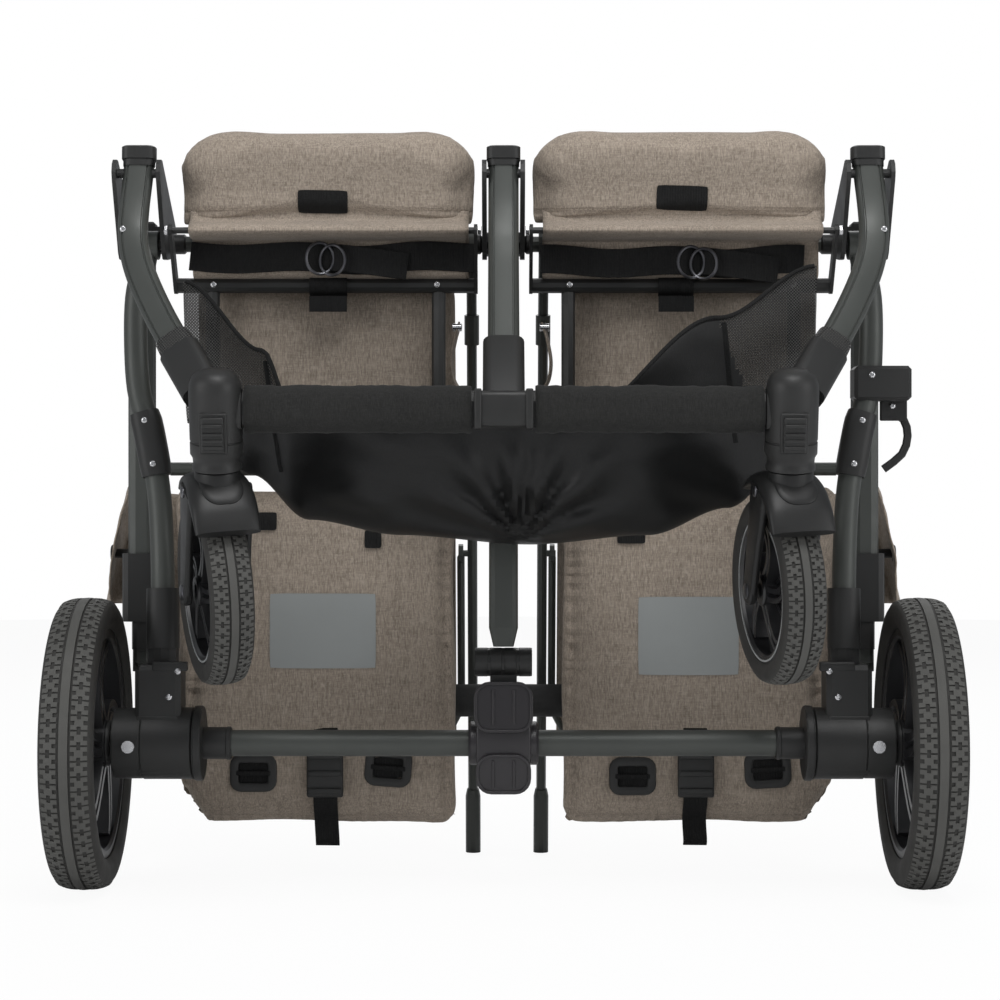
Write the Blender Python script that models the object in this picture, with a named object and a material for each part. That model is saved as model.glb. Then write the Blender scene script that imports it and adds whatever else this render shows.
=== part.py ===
"""A side-by-side double stroller, folded and standing on its rear wheels.

Metres, +Z up, the floor at Z = 0. The front of the stroller is towards -Y, and its underside faces -Y
while it is folded. Places below are measured from the floor point under the rear axle, and one parent
empty sets the whole stroller DEPTH_SHIFT forward, which centres it on its origin.
"""

from math import cos, pi, radians, sin

import bmesh
import bpy
from mathutils import Matrix, Vector

# Joint axes, as (Y, Z) of lines that run along X
AXLE = (0.0, 0.125)
REAR_PIVOT = (0.030, 0.556)
FRONT_PIVOT = (-0.006, 0.614)
SEAT_PIVOT = (0.060, 0.560)
BACK_PIVOT = (0.105, 0.362)
CALF_PIVOT = (0.006, 0.5665)
HOOD_PIVOT = (0.150, 0.285)
PEDAL_PIVOT = AXLE

# Overall
DEPTH_SHIFT = -0.0245
GAP = 0.0003
LEFT, RIGHT = -1, 1
SIDES = {"left": LEFT, "right": RIGHT}

# Rear wheels and axle
REAR_WHEEL_R = 0.125
REAR_TYRE_INNER_R = 0.0985
REAR_TYRE_HALF = 0.0225
REAR_WHEEL_X = 0.3575
ROD_R = 0.005
ROD_HALF = 0.366
AXLE_TUBE_R = 0.0112
AXLE_TUBE_BORE_R = 0.0075
AXLE_TUBE_HALF = 0.2555
RELEASE_PIN_X = 0.318

# Rear legs
REAR_LEG_R = 0.0102
REAR_LEG_PATH = (
    (0.2932, 0.0035, 0.2120),
    (0.2936, 0.0060, 0.2500),
    (0.2950, 0.0095, 0.3000),
    (0.2985, 0.0130, 0.3450),
    (0.3075, 0.0170, 0.3950),
    (0.3165, 0.0200, 0.4300),
    (0.3195, 0.0230, 0.4700),
    (0.3190, 0.0260, 0.5100),
    (0.3130, 0.0290, 0.5400),
    (0.3110, 0.0300, 0.5520),
)
JOINT_COVER_R = 0.0128
KNUCKLE_R = 0.0125
PIVOT_PIN_R = 0.004
PIVOT_BORE_R = 0.0046
CENTRE_LEG_WIDTH = 0.025

# Main frame
MAIN_TUBE_X = 0.325
MAIN_TUBE_Y = 0.100
MAIN_TUBE_Z = (0.2755, 0.550)
MAIN_TUBE_SIZE = (0.025, 0.015)
MAIN_BORE_SIZE = (0.0186, 0.0098)
CROSS_TUBE_R = 0.007
CROSS_TUBE_BORE_R = 0.0074
POST_X = {"left": -0.0284, "right": 0.0357}
POST_R = 0.0045
POST_CAP_R = 0.0070
POST_FOOT = (0.2225, 0.000)

# Telescoping handle
HANDLE_ARM_SIZE = (0.0170, 0.0084)
HANDLE_R = 0.0078
HANDLE_BAR = (0.145, 0.150)
GRIP_R = 0.015
GRIP_HALF = 0.255

# Front frame
FRONT_LEG_SIZE = (0.026, 0.016)
FRONT_LEG_PATH = (
    (0.3125, -0.0040, 0.6300),
    (0.3130, -0.0060, 0.6140),
    (0.3155, -0.0120, 0.5850),
    (0.3155, -0.0210, 0.5620),
    (0.3110, -0.0360, 0.5400),
    (0.3010, -0.0560, 0.5160),
    (0.2820, -0.0860, 0.4820),
    (0.2560, -0.1220, 0.4430),
)
FRONT_BAR = (-0.154, 0.4065)
FRONT_BAR_SIZE = (0.030, 0.018)
FRONT_BAR_HALF = 0.2085
SLEEVE_SIZE = (0.038, 0.026)

# Casters, in a frame whose Z is the swivel axis and whose origin is level with the wheel's axle
CASTER_X = 0.230
CASTER_FOOT = (-0.118, 0.2555)
CASTER_TILT = radians(14)
CASTER_TURN = {"left": radians(18), "right": radians(12)}
TRAIL = 0.022
FRONT_WHEEL_R = 0.0785
FRONT_TYRE_INNER_R = 0.060
FRONT_TYRE_HALF = 0.018
HOUSING_R = 0.021
HOUSING_Z = (0.1065, 0.170)
STEM_R = 0.006
STEM_BORE_R = 0.0065
# The fork's crown as (degrees round the wheel, width, depth), from behind the stem to its front edge
CROWN = (
    (68, 0.0440, 0.0060),
    (82, 0.0480, 0.0150),
    (98, 0.0520, 0.0205),
    (110, 0.0550, 0.0205),
    (121, 0.0575, 0.0165),
    (130, 0.0590, 0.0115),
    (138, 0.0595, 0.0060),
)

# Seats, as (inner X, outer X) of each side
SEAT_X = {"left": (-0.036, -0.278), "right": (0.0445, 0.283)}
CALF_X = {"left": (-0.0200, -0.2825), "right": (0.0200, 0.2845)}
BACK_X = {"left": (-0.036, -0.298), "right": (0.0455, 0.3025)}
HOOD_X = {"left": (-0.039, -0.3385), "right": (0.045, 0.3385)}
SEAT_TUBE_R = 0.006
SEAT_TUBE_PATH = (
    (0.0600, 0.5485),
    (0.0480, 0.5300),
    (0.0430, 0.5050),
    (0.0430, 0.4000),
    (0.0490, 0.3790),
    (0.0640, 0.3680),
    (0.0970, 0.3622),
)
SEAT_BAR = (0.043, 0.522)
HOOD_LENGTH = 0.205

ORIGIN = bpy.data.objects.new("stroller_origin", None)


# Blender helpers


def finish(name, colour, roughness, metallic=0.0):
    """A plain Principled material."""
    material = bpy.data.materials.new(name)
    material.use_nodes = True
    shader = material.node_tree.nodes["Principled BSDF"]
    shader.inputs["Base Color"].default_value = (*colour, 1.0)
    shader.inputs["Roughness"].default_value = roughness
    shader.inputs["Metallic"].default_value = metallic
    return material


def from_bmesh(bm):
    """An object from a bmesh, with its faces turned outwards."""
    bmesh.ops.remove_doubles(bm, verts=bm.verts, dist=1e-6)
    bmesh.ops.recalc_face_normals(bm, faces=bm.faces)
    mesh = bpy.data.meshes.new("shape")
    bm.to_mesh(mesh)
    bm.free()
    shape = bpy.data.objects.new("shape", mesh)
    bpy.context.scene.collection.objects.link(shape)
    return shape


def combine(base, others, operation):
    """The base with other shapes joined to it or cut from it, as one plain mesh."""
    for other in others:
        modifier = base.modifiers.new("boolean", "BOOLEAN")
        modifier.operation = operation
        modifier.solver = "EXACT"
        modifier.object = other
    graph = bpy.context.evaluated_depsgraph_get()
    mesh = bpy.data.meshes.new_from_object(base.evaluated_get(graph))
    base.modifiers.clear()
    base.data = mesh
    for other in others:
        bpy.data.objects.remove(other)
    return base


def unite(base, *others):
    return combine(base, others, "UNION")


def cut(base, *others):
    return combine(base, others, "DIFFERENCE")


def node(shape, name, material, pivot=(0.0, 0.0, 0.0)):
    """Names a finished shape, gives it its material and puts its origin on its joint's axis."""
    shape.name = name
    shape.data.name = name
    shape.data.materials.clear()
    shape.data.materials.append(material)
    shape.data.transform(Matrix.Translation(-Vector(pivot)))
    shape.location = pivot
    shape.parent = ORIGIN
    shape.data.shade_smooth()
    shape.data.set_sharp_from_angle(angle=radians(35))
    return shape


# Shape helpers


def circle(radius, count=16):
    return [(radius * cos(2 * pi * i / count), radius * sin(2 * pi * i / count)) for i in range(count)]


def stadium(width, depth, arc=4):
    """A flat oval outline: two half circles joined by straight sides, widest along its first axis."""
    r = depth / 2
    reach = width / 2 - r
    outline = []
    for side, start in ((1, -pi / 2), (-1, pi / 2)):
        for i in range(arc + 1):
            angle = start + pi * i / arc
            outline.append((side * reach + r * cos(angle), r * sin(angle)))
    return outline


def rounded_box(width, depth, radius, arc=2):
    """A rectangle outline with round corners."""
    outline = []
    for sx, sy, start in ((1, 1, 0), (-1, 1, pi / 2), (-1, -1, pi), (1, -1, 3 * pi / 2)):
        for i in range(arc + 1):
            angle = start + pi / 2 * i / arc
            x = sx * (width / 2 - radius) + radius * cos(angle)
            y = sy * (depth / 2 - radius) + radius * sin(angle)
            outline.append((x, y))
    return outline


def rectangle(width, depth):
    return [(width / 2, depth / 2), (-width / 2, depth / 2), (-width / 2, -depth / 2), (width / 2, -depth / 2)]


def hull(points):
    """The convex outline round a set of points, anticlockwise."""
    points = sorted(set(points))

    def half(run):
        chain = []
        for p in run:
            while len(chain) > 1:
                (ax, ay), (bx, by) = chain[-2], chain[-1]
                if (bx - ax) * (p[1] - ay) - (by - ay) * (p[0] - ax) > 1e-12:
                    break
                chain.pop()
            chain.append(p)
        return chain[:-1]

    return half(points) + half(points[::-1])


def hull_of_circles(circles, count=10):
    """The outline of a flat link plate: the hull of round bosses given as (centre, radius)."""
    points = []
    for (y, z), radius in circles:
        points += [(round(y + a, 6), round(z + b, 6)) for a, b in circle(radius, count)]
    return hull(points)


def smooth(points, steps=3):
    """Points on a Catmull-Rom curve through the given ones."""
    points = [Vector(p) for p in points]
    padded = [2 * points[0] - points[1], *points, 2 * points[-1] - points[-2]]
    curve = []
    for a, b, c, d in zip(padded, padded[1:], padded[2:], padded[3:]):
        for i in range(steps):
            t = i / steps
            curve.append(
                0.5 * (2 * b + (c - a) * t + (2 * a - 5 * b + 4 * c - d) * t * t
                       + (3 * b - a - 3 * c + d) * t * t * t)
            )
    return [*curve, points[-1]]


def loft(path, outlines, depth_axis=(0, 1, 0)):
    """A closed skin over one outline for each point of the path, their second axes towards depth_axis."""
    path = [Vector(p) for p in path]
    bm = bmesh.new()
    rings = []
    for i, (point, outline) in enumerate(zip(path, outlines)):
        tangent = (path[min(i + 1, len(path) - 1)] - path[max(i - 1, 0)]).normalized()
        depth = Vector(depth_axis)
        depth = (depth - depth.dot(tangent) * tangent).normalized()
        wide = depth.cross(tangent)
        rings.append([bm.verts.new(point + a * wide + b * depth) for a, b in outline])
    for first, second in zip(rings, rings[1:]):
        for i in range(len(first)):
            j = (i + 1) % len(first)
            bm.faces.new((first[i], first[j], second[j], second[i]))
    bm.faces.new(rings[0])
    bm.faces.new(rings[-1])
    return from_bmesh(bm)


def sweep(path, outline, depth_axis=(0, 1, 0), scales=None):
    """A closed tube: one outline carried along the path, at a scale for each point."""
    scales = scales or [1.0] * len(path)
    return loft(path, [[(scale * a, scale * b) for a, b in outline] for scale in scales], depth_axis)


def rod(start, end, radius, end_radius=None, count=12):
    """A straight round bar or cone."""
    start, end = Vector(start), Vector(end)
    along = (end - start).normalized()
    depth_axis = (0, 1, 0) if abs(along.y) < 0.9 else (0, 0, 1)
    scales = (1.0, (end_radius or radius) / radius)
    return sweep((start, end), circle(radius, count), depth_axis, scales)


def rod_x(x0, x1, yz, radius, count=12):
    return rod((x0, *yz), (x1, *yz), radius, count=count)


def box(low, high, bevel=0.0, segments=1):
    """A block between two corners, with its edges rounded."""
    low, high = Vector(low), Vector(high)
    bm = bmesh.new()
    bmesh.ops.create_cube(bm, size=1.0)
    bmesh.ops.scale(bm, vec=high - low, verts=bm.verts)
    bmesh.ops.translate(bm, vec=(low + high) / 2, verts=bm.verts)
    if bevel:
        bmesh.ops.bevel(bm, geom=bm.edges[:], offset=bevel, segments=segments, profile=0.5, affect="EDGES")
    return from_bmesh(bm)


def span(side, inner, outer):
    """The low and high X of a stretch between two distances from the middle plane."""
    return sorted((side * inner, side * outer))


def side_box(side, inner, outer, y, z, bevel=0.0, segments=1):
    x0, x1 = span(side, inner, outer)
    return box((x0, y[0], z[0]), (x1, y[1], z[1]), bevel, segments)


def plate(outline, x0, x1):
    """A flat plate square to X, from an outline of (Y, Z) points."""
    bm = bmesh.new()
    near = [bm.verts.new((x0, y, z)) for y, z in outline]
    far = [bm.verts.new((x1, y, z)) for y, z in outline]
    bm.faces.new(near)
    bm.faces.new(far)
    for i in range(len(outline)):
        j = (i + 1) % len(outline)
        bm.faces.new((near[i], near[j], far[j], far[i]))
    return from_bmesh(bm)


def ring(profile, centre, count):
    """A ring round the X axis through centre, from a closed profile of (X, radius) points."""
    bm = bmesh.new()
    turns = []
    for k in range(count):
        angle = 2 * pi * k / count
        turns.append([
            bm.verts.new((centre[0] + x, centre[1] + r * cos(angle), centre[2] + r * sin(angle)))
            for x, r in profile
        ])
    for k in range(count):
        first, second = turns[k], turns[(k + 1) % count]
        for i in range(len(profile)):
            j = (i + 1) % len(profile)
            bm.faces.new((first[i], first[j], second[j], second[i]))
    return from_bmesh(bm)


def cushion(low, high, corner, crown, squeeze=0.0, columns=10, rows=10):
    """A padded panel square to Y: crowned faces, round corners and edges that draw in between them."""
    low, high = Vector(low), Vector(high)
    width, height = high.x - low.x, high.z - low.z
    middle = (low + high) / 2
    half_depth = (high.y - low.y) / 2
    bm = bmesh.new()
    faces = []
    for way in (-1, 1):
        grid = []
        for r in range(rows + 1):
            v = -1 + 2 * r / rows
            line = []
            for c in range(columns + 1):
                u = -1 + 2 * c / columns
                x, z = square_to_panel(u, v, width / 2, height / 2, corner, squeeze)
                swell = (1 - abs(u) ** 4) * (1 - abs(v) ** 4)
                edge = 0.55 if max(abs(u), abs(v)) > 0.999 else 1.0
                y = way * (half_depth - crown * (1 - swell)) * edge
                line.append(bm.verts.new((middle.x + x, middle.y + y, middle.z + z)))
            grid.append(line)
        for r in range(rows):
            for c in range(columns):
                bm.faces.new((grid[r][c], grid[r][c + 1], grid[r + 1][c + 1], grid[r + 1][c]))
        faces.append(grid)
    rims = [border(grid) for grid in faces]
    for i in range(len(rims[0])):
        j = (i + 1) % len(rims[0])
        bm.faces.new((rims[0][i], rims[0][j], rims[1][j], rims[1][i]))
    return from_bmesh(bm)


def square_to_panel(u, v, half_width, half_height, corner, squeeze):
    """Maps the unit square to a panel with round corners whose sides draw in by squeeze."""
    reach = max(abs(u), abs(v))
    draw_x = squeeze * (1 - v * v)
    draw_z = squeeze * (1 - u * u)
    x, z = u * (half_width - draw_x), v * (half_height - draw_z)
    over_x = abs(x) - (half_width - corner)
    over_z = abs(z) - (half_height - corner)
    if over_x > 0 and over_z > 0 and reach > 0:
        length = (over_x ** 2 + over_z ** 2) ** 0.5
        limit = max(over_x, over_z)
        x += (over_x * limit / length - over_x) * (1 if x > 0 else -1)
        z += (over_z * limit / length - over_z) * (1 if z > 0 else -1)
    return x, z


def border(grid):
    """The verts round the edge of a grid, in order."""
    top, bottom = grid[-1], grid[0]
    right = [line[-1] for line in grid[1:-1]]
    left = [line[0] for line in grid[1:-1]]
    return [*bottom, *right, *top[::-1], *left[::-1]]


def bracket_link(circles, x0, x1):
    return plate(hull_of_circles(circles), x0, x1)


# Rear frame


def rear_axle(steel, tube_paint):
    node(rod_x(-ROD_HALF, ROD_HALF, AXLE, ROD_R, 12), "rear_axle_rod", steel, (0, *AXLE))
    tube = rod_x(-AXLE_TUBE_HALF, AXLE_TUBE_HALF, AXLE, AXLE_TUBE_R)
    bore = rod_x(-0.30, 0.30, AXLE, AXLE_TUBE_BORE_R)
    node(cut(tube, bore), "rear_axle_tube", tube_paint, (0, *AXLE))


def mirrored(path, side):
    return [(side * x, y, z) for x, y, z in path]


def hub_housing(name, side, plastic):
    """The casting at an end of the axle: leg socket above, wheel collar outside, tube sleeve inside."""
    leg = mirrored(REAR_LEG_PATH, side)
    low, high = Vector(leg[0]), Vector(leg[1])
    up = (high - low).normalized()
    foot, top = low - 0.030 * up, low + 0.046 * up
    shape = side_box(side, 0.2755, 0.3145, (-0.021, 0.021), (0.099, 0.193), 0.004, 1)
    shape = unite(
        shape,
        rod_x(side * 0.2625, side * 0.318, AXLE, 0.0245, 16),
        rod_x(side * 0.2580, side * 0.2650, AXLE, 0.0320, 16),
        rod_x(side * 0.2340, side * 0.2700, AXLE, 0.0134),
        rod_x(side * 0.3090, side * 0.3335, AXLE, 0.0300, 16),
        rod(foot, top, 0.0136),
    )
    shape = cut(
        shape,
        rod_x(side * 0.2300, side * 0.3400, AXLE, 0.0062, 10),
        rod_x(side * 0.2300, side * (AXLE_TUBE_HALF + 0.0005), AXLE, AXLE_TUBE_R + GAP),
        rod(low - 0.0005 * up, low + 0.060 * up, REAR_LEG_R + GAP, count=8),
        rod((side * RELEASE_PIN_X, -0.05, AXLE[1]), (side * RELEASE_PIN_X, -0.0085, AXLE[1]), 0.0048, count=8),
    )
    node(shape, name, plastic)


def release_pin(name, side, steel):
    x = side * RELEASE_PIN_X
    shape = unite(
        rod((x, -0.0345, AXLE[1]), (x, -0.0125, AXLE[1]), 0.0042, count=10),
        rod((x, -0.0360, AXLE[1]), (x, -0.0335, AXLE[1]), 0.0055, count=10),
    )
    node(shape, name, steel, (x, -0.0345, AXLE[1]))


def rear_side_leg(name, side, paint):
    path = smooth(mirrored(REAR_LEG_PATH, side), 2)
    cover = [p for p in path if 0.352 < p.z < 0.406]
    x0, x1 = span(side, 0.3000, 0.3220)
    shape = sweep(path, circle(REAR_LEG_R, 8))
    shape = unite(shape, rod_x(x0, x1, REAR_PIVOT, KNUCKLE_R), sweep(cover, circle(JOINT_COVER_R, 8)))
    node(cut(shape, rod_x(x0 - 0.01, x1 + 0.01, REAR_PIVOT, PIVOT_BORE_R, 12)), name, paint)


def rear_centre_leg(paint):
    path = ((0, 0.0003, 0.2080), (0, 0.0022, 0.2240), (0, 0.0290, 0.5460))
    shape = sweep(path, rounded_box(CENTRE_LEG_WIDTH, 0.014, 0.005), scales=(0.7, 1.0, 1.0))
    shape = unite(shape, rod_x(-0.0125, 0.0125, REAR_PIVOT, KNUCKLE_R))
    node(cut(shape, rod_x(-0.02, 0.02, REAR_PIVOT, PIVOT_BORE_R, 12)), "rear_leg_centre", paint)


def brake(plastic, pedal_plastic):
    """The collar on the axle tube that carries the centre leg's barrel, and the rocker pedal."""
    collar = unite(
        rod_x(-0.0155, 0.0155, AXLE, 0.0145, 14),
        box((-0.0115, -0.0060, 0.134), (0.0115, 0.0080, 0.190), 0.001),
        rod_x(-0.0245, 0.0245, (0.0, 0.1947), 0.0122),
    )
    node(cut(collar, rod_x(-0.03, 0.03, AXLE, AXLE_TUBE_R + GAP)), "brake_housing", plastic)
    upper = rounded_box(0.0510, 0.0420, 0.012)
    lower = rounded_box(0.0470, 0.0340, 0.012)
    pedal = rod_x(-0.0300, 0.0300, AXLE, 0.0185)
    pedal = unite(
        pedal,
        box((-0.0240, -0.0205, 0.1060), (0.0240, -0.0080, 0.1440)),
        sweep(((0, -0.0215, 0.1570), (0, -0.0165, 0.1574)), upper, (0, 0, 1)),
        sweep(((0, -0.0215, 0.1010), (0, -0.0165, 0.1006)), lower, (0, 0, 1)),
    )
    pedal = cut(
        pedal,
        rod_x(-0.04, 0.04, AXLE, AXLE_TUBE_R + 0.0006),
        box((-0.0160, -0.0150, 0.100), (0.0160, 0.030, 0.150)),
    )
    node(pedal, "brake_pedal", pedal_plastic, (0, *PEDAL_PIVOT))


def storage_latch(plastic, steel):
    """The folded-frame latch on the right rear leg: a clamp with a rivet, and a hook that turns on it."""
    leg = smooth(REAR_LEG_PATH, 2)
    clamp = box((0.3030, 0.0060, 0.4200), (0.3525, 0.0385, 0.4500), 0.003)
    clamp = unite(
        clamp,
        box((0.3280, 0.0260, 0.4030), (0.3515, 0.0310, 0.4240), 0.001),
        rod((0.339, 0.0285, 0.411), (0.339, 0.0370, 0.411), 0.0025, count=10),
    )
    clamp = cut(clamp, sweep([p for p in leg if 0.38 < p.z < 0.50], circle(REAR_LEG_R + 2 * GAP, 8)))
    node(clamp, "storage_latch_bracket", plastic)
    path = smooth([(0.339, 0.0335, 0.411), (0.3495, 0.0335, 0.4040), (0.3530, 0.0335, 0.3900),
                   (0.3480, 0.0335, 0.3740), (0.3320, 0.0335, 0.3610)], 2)
    hook = sweep(path, rounded_box(0.0070, 0.0038, 0.001, 1))
    hook = unite(hook, rod((0.339, 0.0316, 0.411), (0.339, 0.0354, 0.411), 0.0065))
    hook = cut(hook, rod((0.339, 0.02, 0.411), (0.339, 0.05, 0.411), 0.0029, count=10))
    node(hook, "storage_latch_hook", steel, (0.339, 0.0335, 0.411))


# Wheels


def tyre(name, centre, half, outer, inner, rubber, count):
    profile = (
        (-0.82 * half, inner),
        (-1.00 * half, inner + 0.50 * (outer - inner)),
        (-0.84 * half, outer - 0.0050),
        (-0.40 * half, outer),
        (0.40 * half, outer),
        (0.84 * half, outer - 0.0050),
        (1.00 * half, inner + 0.50 * (outer - inner)),
        (0.82 * half, inner),
    )
    return node(ring(profile, centre, count), name, rubber, centre)


def rim(centre, half, outer, wall, hub_r, spokes, sweep_angle, count):
    """A spoked rim: an outer band, curved spokes and a hub."""
    band = ((-half, outer - wall), (-half, outer), (half, outer), (half, outer - wall))
    shape = ring(band, centre, count)
    parts = [rod((centre[0] - 0.8 * half, *centre[1:]), (centre[0] + 0.8 * half, *centre[1:]), hub_r)]
    for k in range(spokes):
        start = 2 * pi * k / spokes + pi / 2
        path = []
        for i in range(4):
            t = i / 3
            r = hub_r * 0.6 + t * (outer - wall * 0.75 - hub_r * 0.6)
            angle = start + sweep_angle * t * t
            path.append((centre[0], centre[1] + r * cos(angle), centre[2] + r * sin(angle)))
        parts.append(sweep(path, rectangle(0.9 * hub_r, 0.9 * half), (1, 0, 0), (1.15, 0.85, 0.75, 1.0)))
    return unite(shape, *parts)


def rear_wheel(name, side, rubber, plastic):
    centre = (side * REAR_WHEEL_X, *AXLE)
    tyre("rear_tyre_" + name, centre, REAR_TYRE_HALF, REAR_WHEEL_R, REAR_TYRE_INNER_R, rubber, 28)
    shape = rim(centre, 0.0175, REAR_TYRE_INNER_R - GAP, 0.009, 0.021, 5, 0.5, 28)
    inner_face = side * (REAR_WHEEL_X - REAR_TYRE_HALF + 0.0010)
    shape = unite(shape, rod_x(inner_face, side * 0.3745, AXLE, 0.0195))
    shape = cut(shape, rod_x(side * 0.330, side * (ROD_HALF + 0.001), AXLE, ROD_R + GAP, 12))
    node(shape, "rear_rim_" + name, plastic, centre)


def caster_frame(side, turn=0.0):
    """Takes caster coordinates, Z along the swivel axis, to stroller coordinates."""
    foot = Matrix.Translation((side * CASTER_X, *CASTER_FOOT))
    return foot @ Matrix.Rotation(CASTER_TILT, 4, "X") @ Matrix.Rotation(turn, 4, "Z")


def caster(name, side, paint, plastic, rubber, steel):
    still = caster_frame(side)
    turned = caster_frame(side, CASTER_TURN[name])
    top = [(0, 0, HOUSING_Z[0]), (0, 0, HOUSING_Z[1])]
    shape = sweep([*top, (0, 0, 0.179), (0, 0, 0.1855), (0, 0, 0.188)], circle(HOUSING_R, 14),
                  scales=(0.92, 1.0, 0.90, 0.62, 0.30))
    shape.data.transform(still)
    leg = mirrored(FRONT_LEG_PATH, side)
    low, high = Vector(leg[-1]), Vector(leg[-2])
    back = (high - low).normalized()
    socket = sweep((low + 0.016 * back, low - 0.034 * back), rounded_box(0.034, 0.023, 0.008))
    boss = sweep(((side * (FRONT_BAR_HALF + GAP), *FRONT_BAR), (side * CASTER_X, *FRONT_BAR)),
                 stadium(0.034, 0.022))
    shape = unite(shape, socket, boss)
    stem_hole = rod((0, 0, 0.095), (0, 0, 0.1405), STEM_BORE_R, count=12)
    stem_hole.data.transform(still)
    leg_hole = sweep((low - 0.0005 * back, low + 0.04 * back), stadium(0.0266, 0.0166, 3))
    node(cut(shape, stem_hole, leg_hole), "caster_housing_" + name, plastic)

    lock = box((-0.0090, -0.0275, 0.1250), (0.0090, -0.0214, 0.1540), 0.0015)
    lock.data.transform(still)
    lock_place = still @ Vector((0, -0.0245, 0.1395))
    node(lock, "swivel_lock_" + name, plastic, lock_place)

    node(fork(turned), "caster_fork_" + name, paint, (side * CASTER_X, *CASTER_FOOT))
    hub = Vector((0, TRAIL, 0))
    origin = (0, 0, 0)
    wheel_tyre = tyre("front_tyre_" + name, origin, FRONT_TYRE_HALF, FRONT_WHEEL_R, FRONT_TYRE_INNER_R, rubber, 24)
    wheel_rim = rim(origin, 0.0150, FRONT_TYRE_INNER_R - GAP, 0.007, 0.0135, 5, 0.4, 24)
    wheel_rim = unite(wheel_rim, rod_x(-0.0175, 0.0175, (0, 0), 0.0115))
    wheel_rim = cut(wheel_rim, rod_x(-0.03, 0.03, (0, 0), 0.0044, 12))
    node(wheel_rim, "front_rim_" + name, plastic)
    for piece in (wheel_tyre, wheel_rim):
        piece.matrix_local = turned @ Matrix.Translation(hub)


def fork(place):
    """The caster fork: stem, a domed crown that runs down over the wheel's front, two legs and the wheel bolt."""
    arc, outlines = [], []
    for degrees, width, depth in CROWN:
        middle = FRONT_WHEEL_R + 0.0045 + depth / 2
        angle = radians(degrees)
        arc.append((0, TRAIL + middle * cos(angle), middle * sin(angle)))
        outlines.append(rounded_box(depth, width, 0.45 * depth))
    crown = loft(arc, outlines, (1, 0, 0))
    parts = [
        rod((0, 0, 0.0950), (0, 0, 0.1055), 0.0185),
        rod((0, 0, 0.1000), (0, 0, 0.1390), STEM_R, count=10),
        rod((-0.0240, TRAIL, 0), (0.0240, TRAIL, 0), 0.0038, count=10),
    ]
    for side in SIDES.values():
        outline = hull_of_circles((((TRAIL, 0.0), 0.0115), ((0.012, 0.088), 0.010), ((-0.004, 0.084), 0.010)))
        x0, x1 = span(side, 0.0206, 0.0272)
        parts.append(plate(outline, x0, x1))
    shape = unite(crown, *parts)
    shape.data.transform(place)
    return shape


# Main frame and handle


def main_side(name, side, paint, plastic):
    x = side * MAIN_TUBE_X
    bottom, top = MAIN_TUBE_Z
    tube = sweep(((x, MAIN_TUBE_Y, bottom), (x, MAIN_TUBE_Y, top)), stadium(*MAIN_TUBE_SIZE))
    bore = sweep(((x, MAIN_TUBE_Y, 0.15), (x, MAIN_TUBE_Y, top - 0.004)), stadium(*MAIN_BORE_SIZE))
    node(cut(tube, bore), "main_tube_" + name, paint)

    bracket = sweep(((x, MAIN_TUBE_Y, 0.2250), (x, MAIN_TUBE_Y, 0.2860)), rounded_box(0.0340, 0.0240, 0.006))
    collar_x = side * 0.3215
    collar = sweep(((collar_x, MAIN_TUBE_Y, 0.2000), (collar_x, MAIN_TUBE_Y, 0.2300)),
                   rounded_box(0.0240, 0.0200, 0.005))
    x0, x1 = span(side, 0.3290, 0.3345)
    lug = bracket_link((((0.1050, 0.262), 0.014), (HOOD_PIVOT, 0.010)), x0, x1)
    pin = rod_x(side * 0.3320, side * 0.3425, HOOD_PIVOT, 0.0030, 10)
    bracket = unite(bracket, collar, lug, pin)
    bracket = cut(
        bracket,
        sweep(((x, MAIN_TUBE_Y, 0.15), (x, MAIN_TUBE_Y, 0.30)), stadium(*MAIN_BORE_SIZE)),
        sweep(((x, MAIN_TUBE_Y, bottom - GAP), (x, MAIN_TUBE_Y, 0.30)), stadium(0.0256, 0.0156)),
    )
    node(bracket, "main_bracket_" + name, plastic)


def hinge_bracket_side(name, side, plastic):
    """The casting that joins a main tube to the pivots of the front leg, the rear leg and the seat."""
    heel = ((0.083, 0.566), 0.0125)
    inner = bracket_link(((FRONT_PIVOT, 0.012), (REAR_PIVOT, 0.013), (SEAT_PIVOT, 0.013), heel),
                         *span(side, 0.2930, 0.2968))
    outer = bracket_link(((FRONT_PIVOT, 0.012), (REAR_PIVOT, 0.013), heel), *span(side, 0.3310, 0.3345))
    shape = unite(
        inner,
        outer,
        side_box(side, 0.2940, 0.3340, (0.0765, 0.0930), (0.5545, 0.5775)),
        side_box(side, 0.3120, 0.3380, (0.0900, 0.1080), (MAIN_TUBE_Z[1] + GAP, 0.5835), 0.002),
        rod_x(side * 0.2950, side * 0.3330, FRONT_PIVOT, PIVOT_PIN_R, 12),
        rod_x(side * 0.2950, side * 0.3330, REAR_PIVOT, PIVOT_PIN_R, 12),
    )
    node(cut(shape, rod_x(side * 0.28, side * 0.2990, SEAT_PIVOT, CROSS_TUBE_BORE_R)),
         "hinge_bracket_" + name, plastic)


def hinge_bracket_centre(plastic):
    circles = ((FRONT_PIVOT, 0.012), (REAR_PIVOT, 0.013), (SEAT_PIVOT, 0.013))
    shape = unite(
        bracket_link(circles, -0.0185, -0.0145),
        bracket_link(circles, 0.0145, 0.0185),
        rod_x(-0.016, 0.016, FRONT_PIVOT, PIVOT_PIN_R, 12),
        rod_x(-0.016, 0.016, REAR_PIVOT, PIVOT_PIN_R, 12),
        rod_x(-0.016, 0.016, SEAT_PIVOT, 0.0108),
    )
    node(cut(shape, rod_x(-0.03, 0.03, SEAT_PIVOT, CROSS_TUBE_BORE_R)), "hinge_bracket_centre", plastic)


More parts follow.
